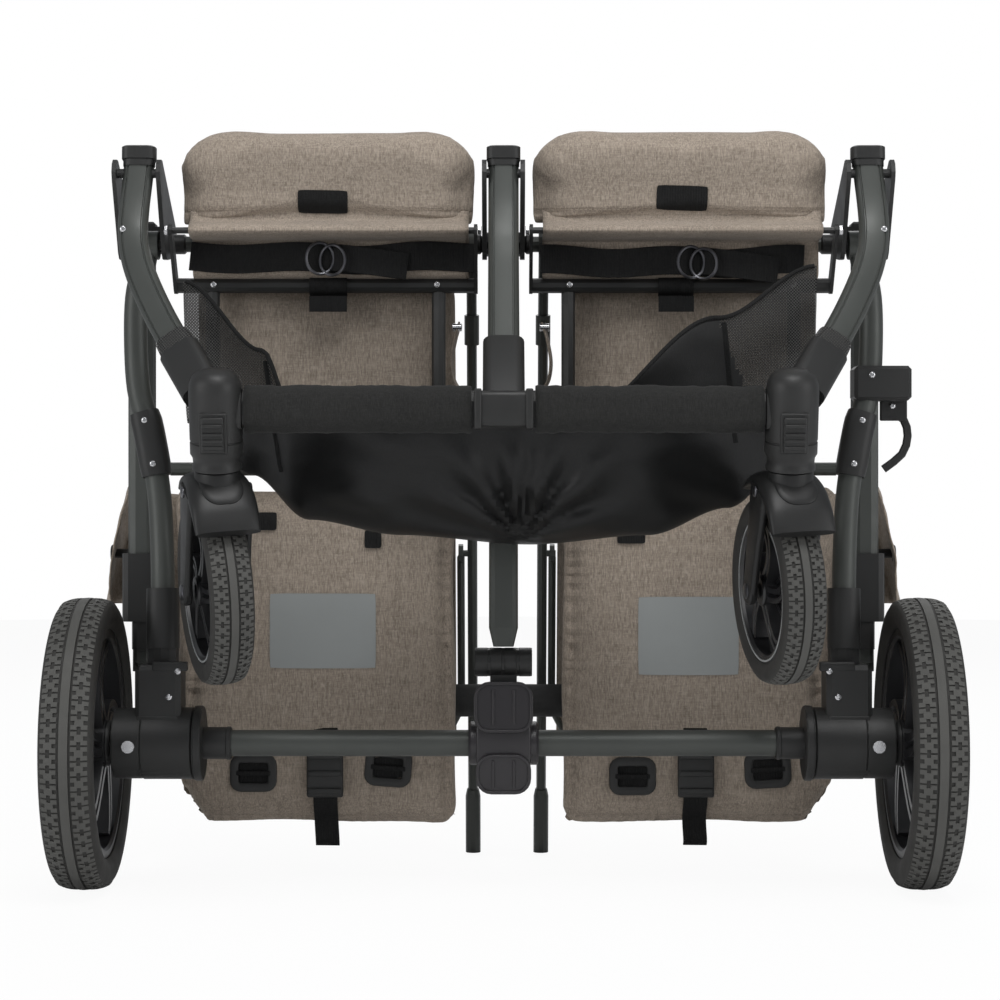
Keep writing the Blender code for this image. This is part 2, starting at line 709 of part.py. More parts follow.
def post_point(z):
    """Y of the centre posts' straight line, through the hood pivot and the foot."""
    (y0, z0), (y1, z1) = HOOD_PIVOT, POST_FOOT
    return y0 + (z0 - z) / (z0 - z1) * (y1 - y0)


def centre_post(name, x, side, paint):
    """A slim post from the main cross tube to a capped foot on the floor, with the hood's inner pin."""
    path = [(0.0640, 0.5520), (0.0800, 0.5280), (post_point(0.500), 0.500), (post_point(0.48), 0.48),
            HOOD_PIVOT, (post_point(0.010), 0.010)]
    shape = sweep([(x, *p) for p in path], circle(POST_R, 8))
    cap = [(x, post_point(0.062), 0.062), (x, post_point(0.055), 0.055), (x, post_point(-0.010), -0.010)]
    sleeve = [(x, post_point(z), z) for z in (0.500, 0.474)]
    shape = unite(
        shape,
        sweep(cap, circle(POST_CAP_R, 10), scales=(0.8, 1.0, 1.0)),
        sweep(sleeve, circle(0.0066, 10)),
        rod_x(x - 0.0045, x + 0.0045, SEAT_PIVOT, 0.0108),
        rod_x(x, x + side * 0.0125, HOOD_PIVOT, 0.0030, 10),
    )
    floor = box((x - 0.03, 0.15, -0.03), (x + 0.03, 0.30, 0.0))
    node(cut(shape, rod_x(x - 0.01, x + 0.01, SEAT_PIVOT, CROSS_TUBE_BORE_R), floor), "centre_post_" + name, paint)


def handle(paint, foam):
    shape = None
    for side in SIDES.values():
        x = side * MAIN_TUBE_X
        arm = sweep(((x, MAIN_TUBE_Y, 0.541), (x, MAIN_TUBE_Y, 0.180)), stadium(*HANDLE_ARM_SIZE))
        shape = unite(shape, arm) if shape else arm
    half = [(0.325, 0.1000, 0.1900), (0.3245, 0.1060, 0.1720), (0.3190, 0.1210, 0.1580),
            (0.3050, 0.1370, 0.1515), (0.2850, 0.1450, 0.1500)]
    bend = smooth(half, 1)
    bar = [*bend, *[Vector((-p.x, p.y, p.z)) for p in bend[::-1]]]
    bar_shape = sweep(bar, circle(HANDLE_R, 10), (0, 0, 1))
    node(unite(bar_shape, shape), "handle", paint)
    grip = rod_x(-GRIP_HALF, GRIP_HALF, HANDLE_BAR, GRIP_R)
    node(cut(grip, rod_x(-0.3, 0.3, HANDLE_BAR, HANDLE_R + GAP)), "handle_grip", foam, (0, *HANDLE_BAR))


# Front frame


def front_leg(name, side, paint):
    path = smooth(mirrored(FRONT_LEG_PATH, side), 2)
    centre = path[0]
    x_pin = path[2].x
    shape = sweep(path, stadium(*FRONT_LEG_SIZE, 3))
    cap = sweep(((centre.x, -0.0045, 0.6260), (centre.x, -0.0030, 0.6370)), rounded_box(0.0284, 0.0190, 0.005))
    shape = unite(shape, cap)
    node(cut(shape, rod_x(x_pin - 0.03, x_pin + 0.03, FRONT_PIVOT, PIVOT_BORE_R, 12)), "front_leg_" + name, paint)


def front_cross_bar(paint, plastic, cloth):
    low, high = (Vector((0, y, z)) for _, y, z in (FRONT_LEG_PATH[-1], FRONT_LEG_PATH[-2]))
    back = (high - low).normalized()
    bar = sweep(((-FRONT_BAR_HALF, *FRONT_BAR), (FRONT_BAR_HALF, *FRONT_BAR)), stadium(*FRONT_BAR_SIZE))
    block = box((-0.0235, -0.1680, 0.3935), (0.0235, -0.1400, 0.4195), 0.004)
    socket = sweep((low + 0.024 * back, low - 0.040 * back), rounded_box(0.0330, 0.0215, 0.007))
    hole = sweep((low - 0.0005 * back, low + 0.05 * back), stadium(0.0266, 0.0166, 3))
    node(cut(unite(bar, block, socket), hole), "front_cross_bar", plastic)
    for name, side in SIDES.items():
        outer = sweep(((side * 0.0255, *FRONT_BAR), (side * 0.2065, *FRONT_BAR)), stadium(*SLEEVE_SIZE))
        inner = sweep(((side * 0.02, *FRONT_BAR), (side * 0.22, *FRONT_BAR)), stadium(0.0306, 0.0186))
        node(cut(outer, inner), "cross_bar_sleeve_" + name, cloth)


# Seats, hoods and basket


def seat_frame(name, side, paint):
    """Two side tubes and a front bar, hung from the main cross tube, with the calf rest's hinge rod."""
    tubes = []
    for distance in (0.0568, 0.2548):
        x = side * distance
        tubes.append(sweep([(x, *p) for p in SEAT_TUBE_PATH], circle(SEAT_TUBE_R, 8)))
        tubes.append(rod_x(x - 0.006, x + 0.006, SEAT_PIVOT, 0.0110, 10))
        tubes.append(rod_x(x - 0.006, x + 0.006, BACK_PIVOT, 0.0100, 10))
    bar = rod_x(side * 0.0225, side * 0.2885, SEAT_BAR, 0.0066, 10)
    arm = ((SEAT_BAR, 0.0075), (CALF_PIVOT, 0.0055))
    parts = [bracket_link(arm, *span(side, 0.0225, 0.0255)), bracket_link(arm, *span(side, 0.2855, 0.2885))]
    parts.append(rod_x(side * 0.0235, side * 0.2875, CALF_PIVOT, 0.0028, 8))
    shape = unite(bar, *parts, *tubes)
    bores = [rod_x(side * 0.03, side * 0.28, SEAT_PIVOT, CROSS_TUBE_BORE_R, 10),
             rod_x(side * 0.03, side * 0.28, BACK_PIVOT, 0.0064, 10)]
    node(cut(shape, *bores), "seat_frame_" + name, paint, (0, *SEAT_PIVOT))


def panel(xs, y, z, corner, crown, squeeze, columns, rows):
    x0, x1 = sorted(xs)
    return cushion((x0, y[0], z[0]), (x1, y[1], z[1]), corner, crown, squeeze, columns, rows)


def seat_softs(name, side, fabric):
    pad = panel(SEAT_X[name], (0.060, 0.094), (0.385, 0.532), 0.018, 0.009, 0.003, 7, 7)
    node(pad, "seat_pad_" + name, fabric, (0, *SEAT_PIVOT))
    calf = panel(CALF_X[name], (-0.002, 0.031), (0.571, 0.657), 0.034, 0.010, 0.0015, 11, 6)
    node(calf, "calf_rest_" + name, fabric, (0, *CALF_PIVOT))
    back = panel(BACK_X[name], (0.088, 0.122), (0.036, 0.350), 0.022, 0.009, 0.003, 8, 10)
    lugs, bores = [], []
    for distance in (0.088, 0.222):
        x = side * distance
        lugs.append(bracket_link(((BACK_PIVOT, 0.0100), ((0.105, 0.326), 0.0077)), x - 0.006, x + 0.006))
        bores.append(rod_x(x - 0.01, x + 0.01, BACK_PIVOT, 0.0064))
    node(cut(unite(back, *lugs), *bores), "backrest_" + name, fabric, (0, *BACK_PIVOT))


def hood_place(along, out):
    """(Y, Z) at a distance along the folded hood from its pivot, and out from its plane."""
    (y0, z0), (y1, z1) = HOOD_PIVOT, POST_FOOT
    way = Vector((y1 - y0, z1 - z0)).normalized()
    face = Vector((-way.y, way.x))
    point = Vector(HOOD_PIVOT) + along * way + out * face
    return point.x, point.y


def hood(name, side, paint, fabric):
    """A folded hood: the U bow on its two pivots, and the gathered fabric that it carries."""
    inner, outer = HOOD_X[name]
    path = [(inner, *HOOD_PIVOT)]
    for reach_x, along in ((0.0, 0.150), (0.020, 0.190), (0.055, HOOD_LENGTH)):
        path.append((inner + side * reach_x, *hood_place(along, 0.0)))
    for reach_x, along in ((0.055, HOOD_LENGTH), (0.020, 0.190), (0.0, 0.150)):
        path.append((outer - side * reach_x, *hood_place(along, 0.0)))
    path.append((outer, *HOOD_PIVOT))
    bow = sweep(path, circle(0.0035, 8), (0, 1, 0.2))
    bow = unite(bow, rod_x(inner - 0.0022, inner + 0.0022, HOOD_PIVOT, 0.0085, 10),
                rod_x(outer - 0.0022, outer + 0.0022, HOOD_PIVOT, 0.0085, 10))
    bow = cut(bow, rod_x(inner - 0.01, inner + 0.01, HOOD_PIVOT, 0.0034, 10),
              rod_x(outer - 0.01, outer + 0.01, HOOD_PIVOT, 0.0034, 10))
    node(bow, "hood_bow_" + name, paint, (0, *HOOD_PIVOT))

    thick = [(0.006, 0.008), (0.030, 0.021), (0.100, 0.028), (0.170, 0.024), (0.198, 0.014)]
    front = [hood_place(along, out) for along, out in ((0.006, -0.0065), (0.100, -0.0065), (0.135, 0.0045),
                                                       (0.198, 0.0045))]
    back = [hood_place(along, out) for along, out in thick]
    top = [hood_place(-0.010, -0.004), hood_place(-0.046, 0.004), hood_place(-0.050, 0.016), hood_place(-0.012, 0.024)]
    x0, x1 = inner + side * 0.0050, outer - side * 0.0125
    body = plate([*front[::-1], *top, *back[1:]], x0, x1)
    wing = bracket_link(((hood_place(-0.036, 0.010), 0.014), (hood_place(0.028, 0.012), 0.020)),
                        *span(side, 0.3440, 0.3550))
    bridge = bracket_link(((hood_place(-0.034, 0.018), 0.0035), (hood_place(0.035, 0.022), 0.0035)),
                          *span(side, 0.3250, 0.3480))
    node(unite(body, wing, bridge), "hood_fabric_" + name, fabric, (0, *HOOD_PIVOT))


def between(value, stops):
    """Smooth steps between (place, value) stops."""
    if value <= stops[0][0]:
        return stops[0][1]
    for (a, low), (b, high) in zip(stops, stops[1:]):
        if value <= b:
            t = (value - a) / (b - a)
            return low + (high - low) * t * t * (3 - 2 * t)
    return stops[-1][1]


BASKET_TOP = ((-0.268, 0.520), (-0.190, 0.425), (-0.120, 0.396), (0.060, 0.396), (0.176, 0.480), (0.262, 0.528))
BASKET_LOW = ((-0.268, 0.400), (-0.213, 0.356), (-0.165, 0.318), (-0.087, 0.305), (0.022, 0.297),
              (0.123, 0.305), (0.190, 0.328), (0.262, 0.395))


def basket(cloth):
    """The folded basket: cloth from the cross bar and front legs, sagging and turning up behind."""
    columns, rows = 18, 7
    bm = bmesh.new()
    grid = []
    for c in range(columns + 1):
        x = -0.268 + 0.530 * c / columns
        top, low = between(x, BASKET_TOP), between(x, BASKET_LOW)
        front = between(abs(x), ((0.10, -0.130), (0.25, -0.058)))
        pleat = 0.006 * (abs(x - 0.022) < 0.02) + 0.004 * sin(55 * x) * sin(23 * x + 1)
        line = []
        for r in range(rows + 1):
            t = r / rows
            if t < 0.72:
                s = t / 0.72
                y = front + (-0.028 - front) * s ** 1.6
                z = top + (low - top) * sin(s * pi / 2) ** 1.15 + pleat * sin(pi * s)
            else:
                s = (t - 0.72) / 0.28
                y = -0.028 + 0.018 * sin(s * pi / 2)
                z = low + 0.055 * s * s
            line.append(bm.verts.new((x, y + pleat * sin(pi * t), z)))
        grid.append(line)
    for first, second in zip(grid, grid[1:]):
        for r in range(rows):
            bm.faces.new((first[r], second[r], second[r + 1], first[r + 1]))
    shape = from_bmesh(bm)
    node(shape, "basket", cloth, (0, *FRONT_PIVOT))
    wall = shape.modifiers.new("cloth", "SOLIDIFY")
    wall.thickness = 0.0030
    wall.offset = 0.0


def main():
    for thing in list(bpy.data.objects):
        if thing is not ORIGIN:
            bpy.data.objects.remove(thing)
    bpy.context.scene.collection.objects.link(ORIGIN)
    ORIGIN.location = (0.0, DEPTH_SHIFT, 0.0)

    paint = finish("frame_paint", (0.075, 0.082, 0.078), 0.42, 0.6)
    plastic = finish("black_plastic", (0.022, 0.022, 0.024), 0.48)
    pedal_plastic = finish("pedal_plastic", (0.035, 0.030, 0.034), 0.50)
    steel = finish("bright_steel", (0.55, 0.55, 0.56), 0.30, 1.0)
    rubber = finish("tyre_rubber", (0.055, 0.055, 0.052), 0.75)
    foam = finish("grip_foam", (0.020, 0.020, 0.020), 0.85)
    seat_cloth = finish("seat_fabric", (0.27, 0.225, 0.185), 0.90)
    sleeve_cloth = finish("sleeve_cloth", (0.030, 0.030, 0.032), 0.85)
    basket_cloth = finish("basket_cloth", (0.014, 0.014, 0.015), 0.85)

    rear_axle(steel, paint)
    rear_centre_leg(paint)
    brake(plastic, pedal_plastic)
    storage_latch(plastic, plastic)
    hinge_bracket_centre(plastic)
    node(rod_x(-0.2985, 0.2985, SEAT_PIVOT, CROSS_TUBE_R, 14), "main_cross_tube", paint, (0, *SEAT_PIVOT))
    node(rod_x(-0.3000, 0.3000, BACK_PIVOT, 0.0060, 12), "recline_bar", paint, (0, *BACK_PIVOT))
    for name, side in SIDES.items():
        hub_housing("hub_housing_" + name, side, plastic)
        release_pin("wheel_release_pin_" + name, side, steel)
        rear_side_leg("rear_leg_" + name, side, paint)
        rear_wheel(name, side, rubber, plastic)
        main_side(name, side, paint, plastic)
        hinge_bracket_side(name, side, plastic)
        centre_post(name, POST_X[name], side, paint)
        front_leg(name, side, paint)
        caster(name, side, plastic, plastic, rubber, steel)
        seat_frame(name, side, paint)
        seat_softs(name, side, seat_cloth)
        hood(name, side, paint, seat_cloth)
    front_leg("centre", 0, paint)
    front_cross_bar(paint, plastic, sleeve_cloth)
    handle(paint, foam)
    basket(basket_cloth)


main()
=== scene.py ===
# %% [markdown]
# A folded side-by-side double stroller, seen from below its seats. The imported CAD model comes in as a fixed
# frame of bodies and nodes, in metres, and this lesson dresses it: fabric, webbing, tread, screws and finishes.

from math import atan2, cos, pi, radians, sin

import bmesh
import bpy
from mathutils import Matrix, Vector, noise


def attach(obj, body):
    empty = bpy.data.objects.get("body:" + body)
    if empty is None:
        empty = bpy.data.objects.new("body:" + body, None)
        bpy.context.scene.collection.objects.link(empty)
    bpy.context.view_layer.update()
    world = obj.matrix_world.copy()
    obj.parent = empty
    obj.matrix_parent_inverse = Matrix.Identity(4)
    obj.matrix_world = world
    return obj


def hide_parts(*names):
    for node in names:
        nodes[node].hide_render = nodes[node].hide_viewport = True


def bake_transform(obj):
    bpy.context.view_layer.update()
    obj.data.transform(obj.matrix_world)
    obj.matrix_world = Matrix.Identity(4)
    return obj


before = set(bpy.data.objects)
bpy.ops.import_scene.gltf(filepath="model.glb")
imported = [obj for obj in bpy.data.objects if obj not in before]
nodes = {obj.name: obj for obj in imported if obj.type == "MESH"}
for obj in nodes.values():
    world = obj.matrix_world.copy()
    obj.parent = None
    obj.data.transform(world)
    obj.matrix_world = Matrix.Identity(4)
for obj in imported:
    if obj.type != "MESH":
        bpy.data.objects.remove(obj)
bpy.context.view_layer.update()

# %% [markdown]
# The camera stands level with the middle of the stroller, two metres in front of it, with a long lens. The
# light is that of a plain studio: an even white world, a large soft lamp above the camera and one on each side.

# %% Camera
scene = bpy.context.scene
scene.view_settings.view_transform = "Standard"
camera_data = bpy.data.cameras.new("camera")
camera = bpy.data.objects.new("camera", camera_data)
scene.collection.objects.link(camera)
camera.location = (-0.003, -2.1745, 0.334)
camera.rotation_euler = (radians(90), 0, 0)
camera_data.lens = 90
camera_data.sensor_width = 36
scene.camera = camera
print("camera at", tuple(round(v, 3) for v in camera.location))

# %% Lamps
def soft_lamp(name, place, target, size, power):
    data = bpy.data.lights.new(name, "AREA")
    data.size = size
    data.energy = power
    lamp = bpy.data.objects.new(name, data)
    lamp.location = place
    lamp.rotation_euler = (Vector(target) - Vector(place)).to_track_quat("-Z", "Y").to_euler()
    scene.collection.objects.link(lamp)


soft_lamp("lamp_above", (0.2, -1.25, 2.5), (0, 0, 0.35), 1.2, 38)
soft_lamp("lamp_left", (-2.2, -1.5, 0.9), (0, 0, 0.30), 1.2, 18)
soft_lamp("lamp_right", (2.2, -1.5, 0.9), (0, 0, 0.30), 1.2, 16)
soft_lamp("lamp_behind", (0.2, 2.0, 1.9), (0, 0, 0.3), 1.6, 20)

# %% [markdown]
# The white around the stroller is the world as the camera sees it. Light Path tells the camera's rays apart
# from the others, so the backdrop stays white however bright the room is.

# %% World and floor
def plain_world(strength):
    world = bpy.data.worlds.new("studio")
    scene.world = world
    world.use_nodes = True
    tree = world.node_tree
    tree.nodes.clear()
    path = tree.nodes.new("ShaderNodeLightPath")
    seen = tree.nodes.new("ShaderNodeMath")
    seen.operation = "MAXIMUM"
    room = tree.nodes.new("ShaderNodeBackground")
    room.inputs["Strength"].default_value = strength
    white = tree.nodes.new("ShaderNodeBackground")
    white.inputs["Color"].default_value = (1, 1, 1, 1)
    mix = tree.nodes.new("ShaderNodeMixShader")
    out = tree.nodes.new("ShaderNodeOutputWorld")
    tree.links.new(path.outputs["Is Camera Ray"], seen.inputs[0])
    tree.links.new(path.outputs["Is Transmission Ray"], seen.inputs[1])
    tree.links.new(seen.outputs[0], mix.inputs[0])
    tree.links.new(room.outputs[0], mix.inputs[1])
    tree.links.new(white.outputs[0], mix.inputs[2])
    tree.links.new(mix.outputs[0], out.inputs[0])
    room.inputs["Color"].default_value = (0.93, 0.96, 1.0, 1)


def pale_floor(radius):
    bm = bmesh.new()
    bmesh.ops.create_circle(bm, cap_ends=True, segments=64, radius=radius)
    mesh = bpy.data.meshes.new("studio_floor")
    bm.to_mesh(mesh)
    bm.free()
    floor = bpy.data.objects.new("studio_floor", mesh)
    scene.collection.objects.link(floor)
    material = bpy.data.materials.new("studio_floor")
    material.use_nodes = True
    tree = material.node_tree
    shader = tree.nodes["Principled BSDF"]
    shader.inputs["Base Color"].default_value = (0.92, 0.92, 0.92, 1)
    shader.inputs["Roughness"].default_value = 0.7
    shader.inputs["Specular IOR Level"].default_value = 0.2
    glow = tree.nodes.new("ShaderNodeEmission")
    path = tree.nodes.new("ShaderNodeLightPath")
    share = tree.nodes.new("ShaderNodeMath")
    share.operation = "MULTIPLY"
    share.inputs[1].default_value = 0.94
    mix = tree.nodes.new("ShaderNodeMixShader")
    tree.links.new(path.outputs["Is Camera Ray"], share.inputs[0])
    tree.links.new(share.outputs[0], mix.inputs[0])
    tree.links.new(shader.outputs[0], mix.inputs[1])
    tree.links.new(glow.outputs[0], mix.inputs[2])
    tree.links.new(mix.outputs[0], tree.nodes["Material Output"].inputs[0])
    mesh.materials.append(material)
    floor.location = (0, 0, -0.0006)


plain_world(0.36)
pale_floor(5.0)
print("world", scene.world.name, "and floor made")

# %% [markdown]
# Every finish starts from a Principled shader. What the finishes share is put in node groups, each built once:
# a mottle of light and dark for dust and handling, the pebbled grain of moulded plastic, and a woven cloth.
# A group puts out only a value, a colour or a normal, and each material feeds it its own sizes.

# %% Node group helpers
def new_group(name, inputs, outputs):
    tree = bpy.data.node_groups.new(name, "ShaderNodeTree")
    for label, kind, value in inputs:
        socket = tree.interface.new_socket(label, in_out="INPUT", socket_type="NodeSocket" + kind)
        socket.default_value = value
    for label, kind in outputs:
        tree.interface.new_socket(label, in_out="OUTPUT", socket_type="NodeSocket" + kind)
    return tree, tree.nodes.new("NodeGroupInput"), tree.nodes.new("NodeGroupOutput")


def add(tree, kind, settings=None, **values):
    """A node with its settings and socket values, named as in the interface with spaces as underscores."""
    made = tree.nodes.new("ShaderNode" + kind)
    for key, value in (settings or {}).items():
        setattr(made, key, value)
    for key, value in values.items():
        socket = made.inputs[key.replace("_", " ")]
        if isinstance(value, bpy.types.NodeSocket):
            tree.links.new(value, socket)
        else:
            socket.default_value = value
    return made


def maths(tree, operation, a, b=None):
    made = tree.nodes.new("ShaderNodeMath")
    made.operation = operation
    for index, value in enumerate((a, b)):
        if isinstance(value, bpy.types.NodeSocket):
            tree.links.new(value, made.inputs[index])
        elif value is not None:
            made.inputs[index].default_value = value
    return made.outputs[0]


def blend_colours(tree, factor, first, second, way="MIX"):
    made = tree.nodes.new("ShaderNodeMix")
    made.data_type = "RGBA"
    made.blend_type = way
    for socket, value in ((made.inputs[0], factor), (made.inputs[6], first), (made.inputs[7], second)):
        if isinstance(value, bpy.types.NodeSocket):
            tree.links.new(value, socket)
        else:
            socket.default_value = value if isinstance(value, float) else (*value, 1)
    return made.outputs[2]


def spread(tree, value, low, high, out_low=0.0, out_high=1.0):
    made = tree.nodes.new("ShaderNodeMapRange")
    tree.links.new(value, made.inputs[0])
    for index, number in enumerate((low, high, out_low, out_high)):
        made.inputs[index + 1].default_value = number
    return made.outputs[0]


# %% Mottle: soft patches of light and dark
mottle, inside, out = new_group("mottle", (("Size", "Float", 12.0), ("Amount", "Float", 0.15)),
                                (("Value", "Float"),))
place = add(mottle, "TexCoord").outputs["Object"]
cloud = add(mottle, "TexNoise", Vector=place, Scale=inside.outputs["Size"], Detail=5.0, Roughness=0.6)
centred = maths(mottle, "SUBTRACT", cloud.outputs["Fac"], 0.5)
mottle.links.new(maths(mottle, "ADD", maths(mottle, "MULTIPLY", centred, inside.outputs["Amount"]), 1.0),
                 out.inputs[0])
print("group", mottle.name)

# %% Grain: the pebbled skin of moulded plastic and of powder paint
grain, inside, out = new_group(
    "moulded_grain",
    (("Size", "Float", 1500.0), ("Depth", "Float", 0.2), ("Distance", "Float", 0.0002)),
    (("Normal", "Vector"), ("Pits", "Float")),
)
place = add(grain, "TexCoord").outputs["Object"]
pebbles = add(grain, "TexVoronoi", {"feature": "SMOOTH_F1"}, Vector=place, Scale=inside.outputs["Size"])
fine = add(grain, "TexNoise", Vector=place, Scale=inside.outputs["Size"], Detail=2.0)
height = maths(grain, "ADD", pebbles.outputs["Distance"], maths(grain, "MULTIPLY", fine.outputs["Fac"], 0.5))
bump = add(grain, "Bump", Strength=inside.outputs["Depth"], Distance=inside.outputs["Distance"],
           Height=height)
grain.links.new(bump.outputs[0], out.inputs["Normal"])
grain.links.new(pebbles.outputs["Distance"], out.inputs["Pits"])
print("group", grain.name)

# %% Cloth: crossed threads, each lighter or darker along its length
cloth, inside, out = new_group(
    "crossed_threads",
    (("Threads", "Float", 1100.0), ("Streak", "Float", 420.0), ("Depth", "Float", 0.4),
     ("Ribs", "Float", 0.0)),
    (("Shade", "Float"), ("Speck", "Float"), ("Normal", "Vector")),
)
place = add(cloth, "TexCoord").outputs["Object"]
across = add(cloth, "Mapping", Vector=place)
across.inputs["Scale"].default_value = (0.12, 1.0, 1.0)
along = add(cloth, "Mapping", Vector=place)
along.inputs["Scale"].default_value = (1.0, 1.0, 0.17)
weft = add(cloth, "TexNoise", Vector=across.outputs[0], Scale=inside.outputs["Threads"], Detail=3.0,
           Roughness=0.65)
warp = add(cloth, "TexNoise", Vector=along.outputs[0], Scale=inside.outputs["Threads"], Detail=3.0,
           Roughness=0.65)
slub = add(cloth, "TexNoise", Vector=along.outputs[0], Scale=inside.outputs["Streak"], Detail=3.0,
           Roughness=0.6)
stray = add(cloth, "TexNoise", Vector=across.outputs[0], Scale=140.0, Detail=2.0, Roughness=0.5)
sides = add(cloth, "SeparateXYZ", Vector=place)
ribs = maths(cloth, "MULTIPLY", maths(cloth, "SINE", maths(cloth, "MULTIPLY", sides.outputs["X"], 2800.0)),
             inside.outputs["Ribs"])
threads = maths(cloth, "ADD", maths(cloth, "MULTIPLY", weft.outputs["Fac"], 0.7),
                maths(cloth, "MULTIPLY", warp.outputs["Fac"], 1.3))
cloth.links.new(maths(cloth, "MULTIPLY", threads, 0.5), out.inputs["Speck"])
streaks = maths(cloth, "ADD", maths(cloth, "MULTIPLY", slub.outputs["Fac"], 0.75),
                maths(cloth, "MULTIPLY", stray.outputs["Fac"], 0.25))
cloth.links.new(streaks, out.inputs["Shade"])
bump = add(cloth, "Bump", Strength=inside.outputs["Depth"], Height=maths(cloth, "ADD", threads, ribs))
bump.inputs["Distance"].default_value = 0.0004
cloth.links.new(bump.outputs[0], out.inputs["Normal"])
print("group", cloth.name)

# %% [markdown]
# A finish takes its plain numbers on the shader's own sockets and its variation from the groups. The painted
# tubes are satin charcoal with a hint of green, the mouldings near black, and the seat cloth is a tan melange:
# its weft and warp threads are dyed unevenly, so the colour is three tones mixed by the thread group's masks.

# %% Finishes
def finish(name, colour, roughness, metallic=0.0, **constants):
    material = bpy.data.materials.new(name)
    material.use_nodes = True
    tree = material.node_tree
    shader = tree.nodes["Principled BSDF"]
    shader.inputs["Base Color"].default_value = (*colour, 1)
    shader.inputs["Roughness"].default_value = roughness
    shader.inputs["Metallic"].default_value = metallic
    for key, value in constants.items():
        shader.inputs[key.replace("_", " ")].default_value = value
    return material, tree, shader


def placed(tree, group, **values):
    made = tree.nodes.new("ShaderNodeGroup")
    made.node_tree = group
    for key, value in values.items():
        made.inputs[key].default_value = value
    return made


def hard_finish(name, colour, roughness, metallic=0.0, grain_size=1500.0, depth=0.15, patch=0.25,
                **constants):
    """Paint, plastic or metal: mottled colour and roughness over a fine grain."""
    material, tree, shader = finish(name, colour, roughness, metallic, **constants)
    patches = placed(tree, mottle, Size=14.0, Amount=patch)
    tint = blend_colours(tree, 1.0, colour, (1.0, 1.0, 1.0), "MULTIPLY")
    tree.links.new(patches.outputs[0], tint.node.inputs[7])
    tree.links.new(tint, shader.inputs["Base Color"])
    wiped = placed(tree, mottle, Size=45.0, Amount=0.5)
    tree.links.new(maths(tree, "MULTIPLY", wiped.outputs[0], roughness), shader.inputs["Roughness"])
    skin = placed(tree, grain, Size=grain_size, Depth=depth)
    tree.links.new(skin.outputs["Normal"], shader.inputs["Normal"])
    return material


def cloth_finish(name, dark, middle, light, roughness=0.9, threads=1100.0, streak=560.0, depth=0.4,
                 ribs=0.0, **constants):
    """Woven cloth: three thread colours mixed by the masks of the thread group."""
    material, tree, shader = finish(name, middle, roughness, **constants)
    woven = placed(tree, cloth, Threads=threads, Streak=streak, Depth=depth, Ribs=ribs)
    uneven = spread(tree, woven.outputs["Shade"], 0.36, 0.64)
    base = blend_colours(tree, uneven, dark, middle)
    bright = spread(tree, woven.outputs["Speck"], 0.45, 0.68)
    base = blend_colours(tree, bright, base, light)
    patches = placed(tree, mottle, Size=9.0, Amount=0.30)
    shaded = blend_colours(tree, 1.0, base, (1.0, 1.0, 1.0), "MULTIPLY")
    tree.links.new(patches.outputs[0], shaded.node.inputs[7])
    tree.links.new(shaded, shader.inputs["Base Color"])
    tree.links.new(woven.outputs["Normal"], shader.inputs["Normal"])
    return material


frame_paint = hard_finish("frame_paint", (0.056, 0.060, 0.055), 0.46, 0.30, grain_size=2200.0, depth=0.10)
black_plastic = hard_finish("black_plastic", (0.016, 0.016, 0.0155), 0.48, grain_size=1500.0, depth=0.22,
                            Specular_IOR_Level=0.40)
# The fork's plastic is the black plastic made darker: painted shade, since the crown sits in shade although it
# faces up.
fork_plastic = hard_finish("fork_plastic", (0.010, 0.010, 0.0098), 0.45, grain_size=1500.0, depth=0.20,
                           Specular_IOR_Level=0.35)
rim_plastic = hard_finish("rim_plastic", (0.014, 0.014, 0.015), 0.36, grain_size=1700.0, depth=0.12)
pedal_plastic = hard_finish("pedal_plastic", (0.017, 0.015, 0.017), 0.36, grain_size=1400.0, depth=0.20)
bright_steel = hard_finish("bright_steel", (0.56, 0.56, 0.57), 0.26, 1.0, grain_size=2600.0, depth=0.05,
                           patch=0.12)
dark_steel = hard_finish("dark_steel", (0.13, 0.13, 0.14), 0.32, 1.0, grain_size=2600.0, depth=0.05)
tyre_rubber = hard_finish("tyre_rubber", (0.030, 0.029, 0.027), 0.70, grain_size=1200.0, depth=0.30,
                          patch=0.4,
                          Specular_IOR_Level=0.30)
grip_foam = hard_finish("grip_foam", (0.016, 0.016, 0.016), 0.85, grain_size=900.0, depth=0.60)
patch_film = hard_finish("patch_film", (0.255, 0.268, 0.264), 0.45, grain_size=900.0, depth=0.06, patch=0.1)
seat_fabric = cloth_finish("seat_fabric", (0.185, 0.152, 0.122), (0.295, 0.246, 0.198), (0.410, 0.350, 0.290),
                           Sheen_Weight=0.10, Sheen_Roughness=0.5, Specular_IOR_Level=0.20)
basket_cloth = cloth_finish("basket_cloth", (0.0030, 0.0030, 0.0030), (0.0045, 0.0045, 0.0045),
                            (0.008, 0.008, 0.008),
                            0.46, depth=0.25, Specular_IOR_Level=0.30)
sleeve_cloth = cloth_finish("sleeve_cloth", (0.010, 0.010, 0.0095), (0.015, 0.015, 0.014),
                            (0.024, 0.024, 0.023),
                            0.80, threads=1500.0, Sheen_Weight=0.04, Specular_IOR_Level=0.22)
webbing_cloth = cloth_finish("webbing_cloth", (0.0045, 0.0045, 0.0045), (0.007, 0.007, 0.007),
                             (0.013, 0.013, 0.013),
                             0.70, threads=1400.0, depth=0.6, ribs=0.35, Specular_IOR_Level=0.20)
print("finishes", len(bpy.data.materials))

# %% [markdown]
# CAD nodes whose shape is right stay as they are and only change their finish. The table pairs the start of a
# node's name with its material.

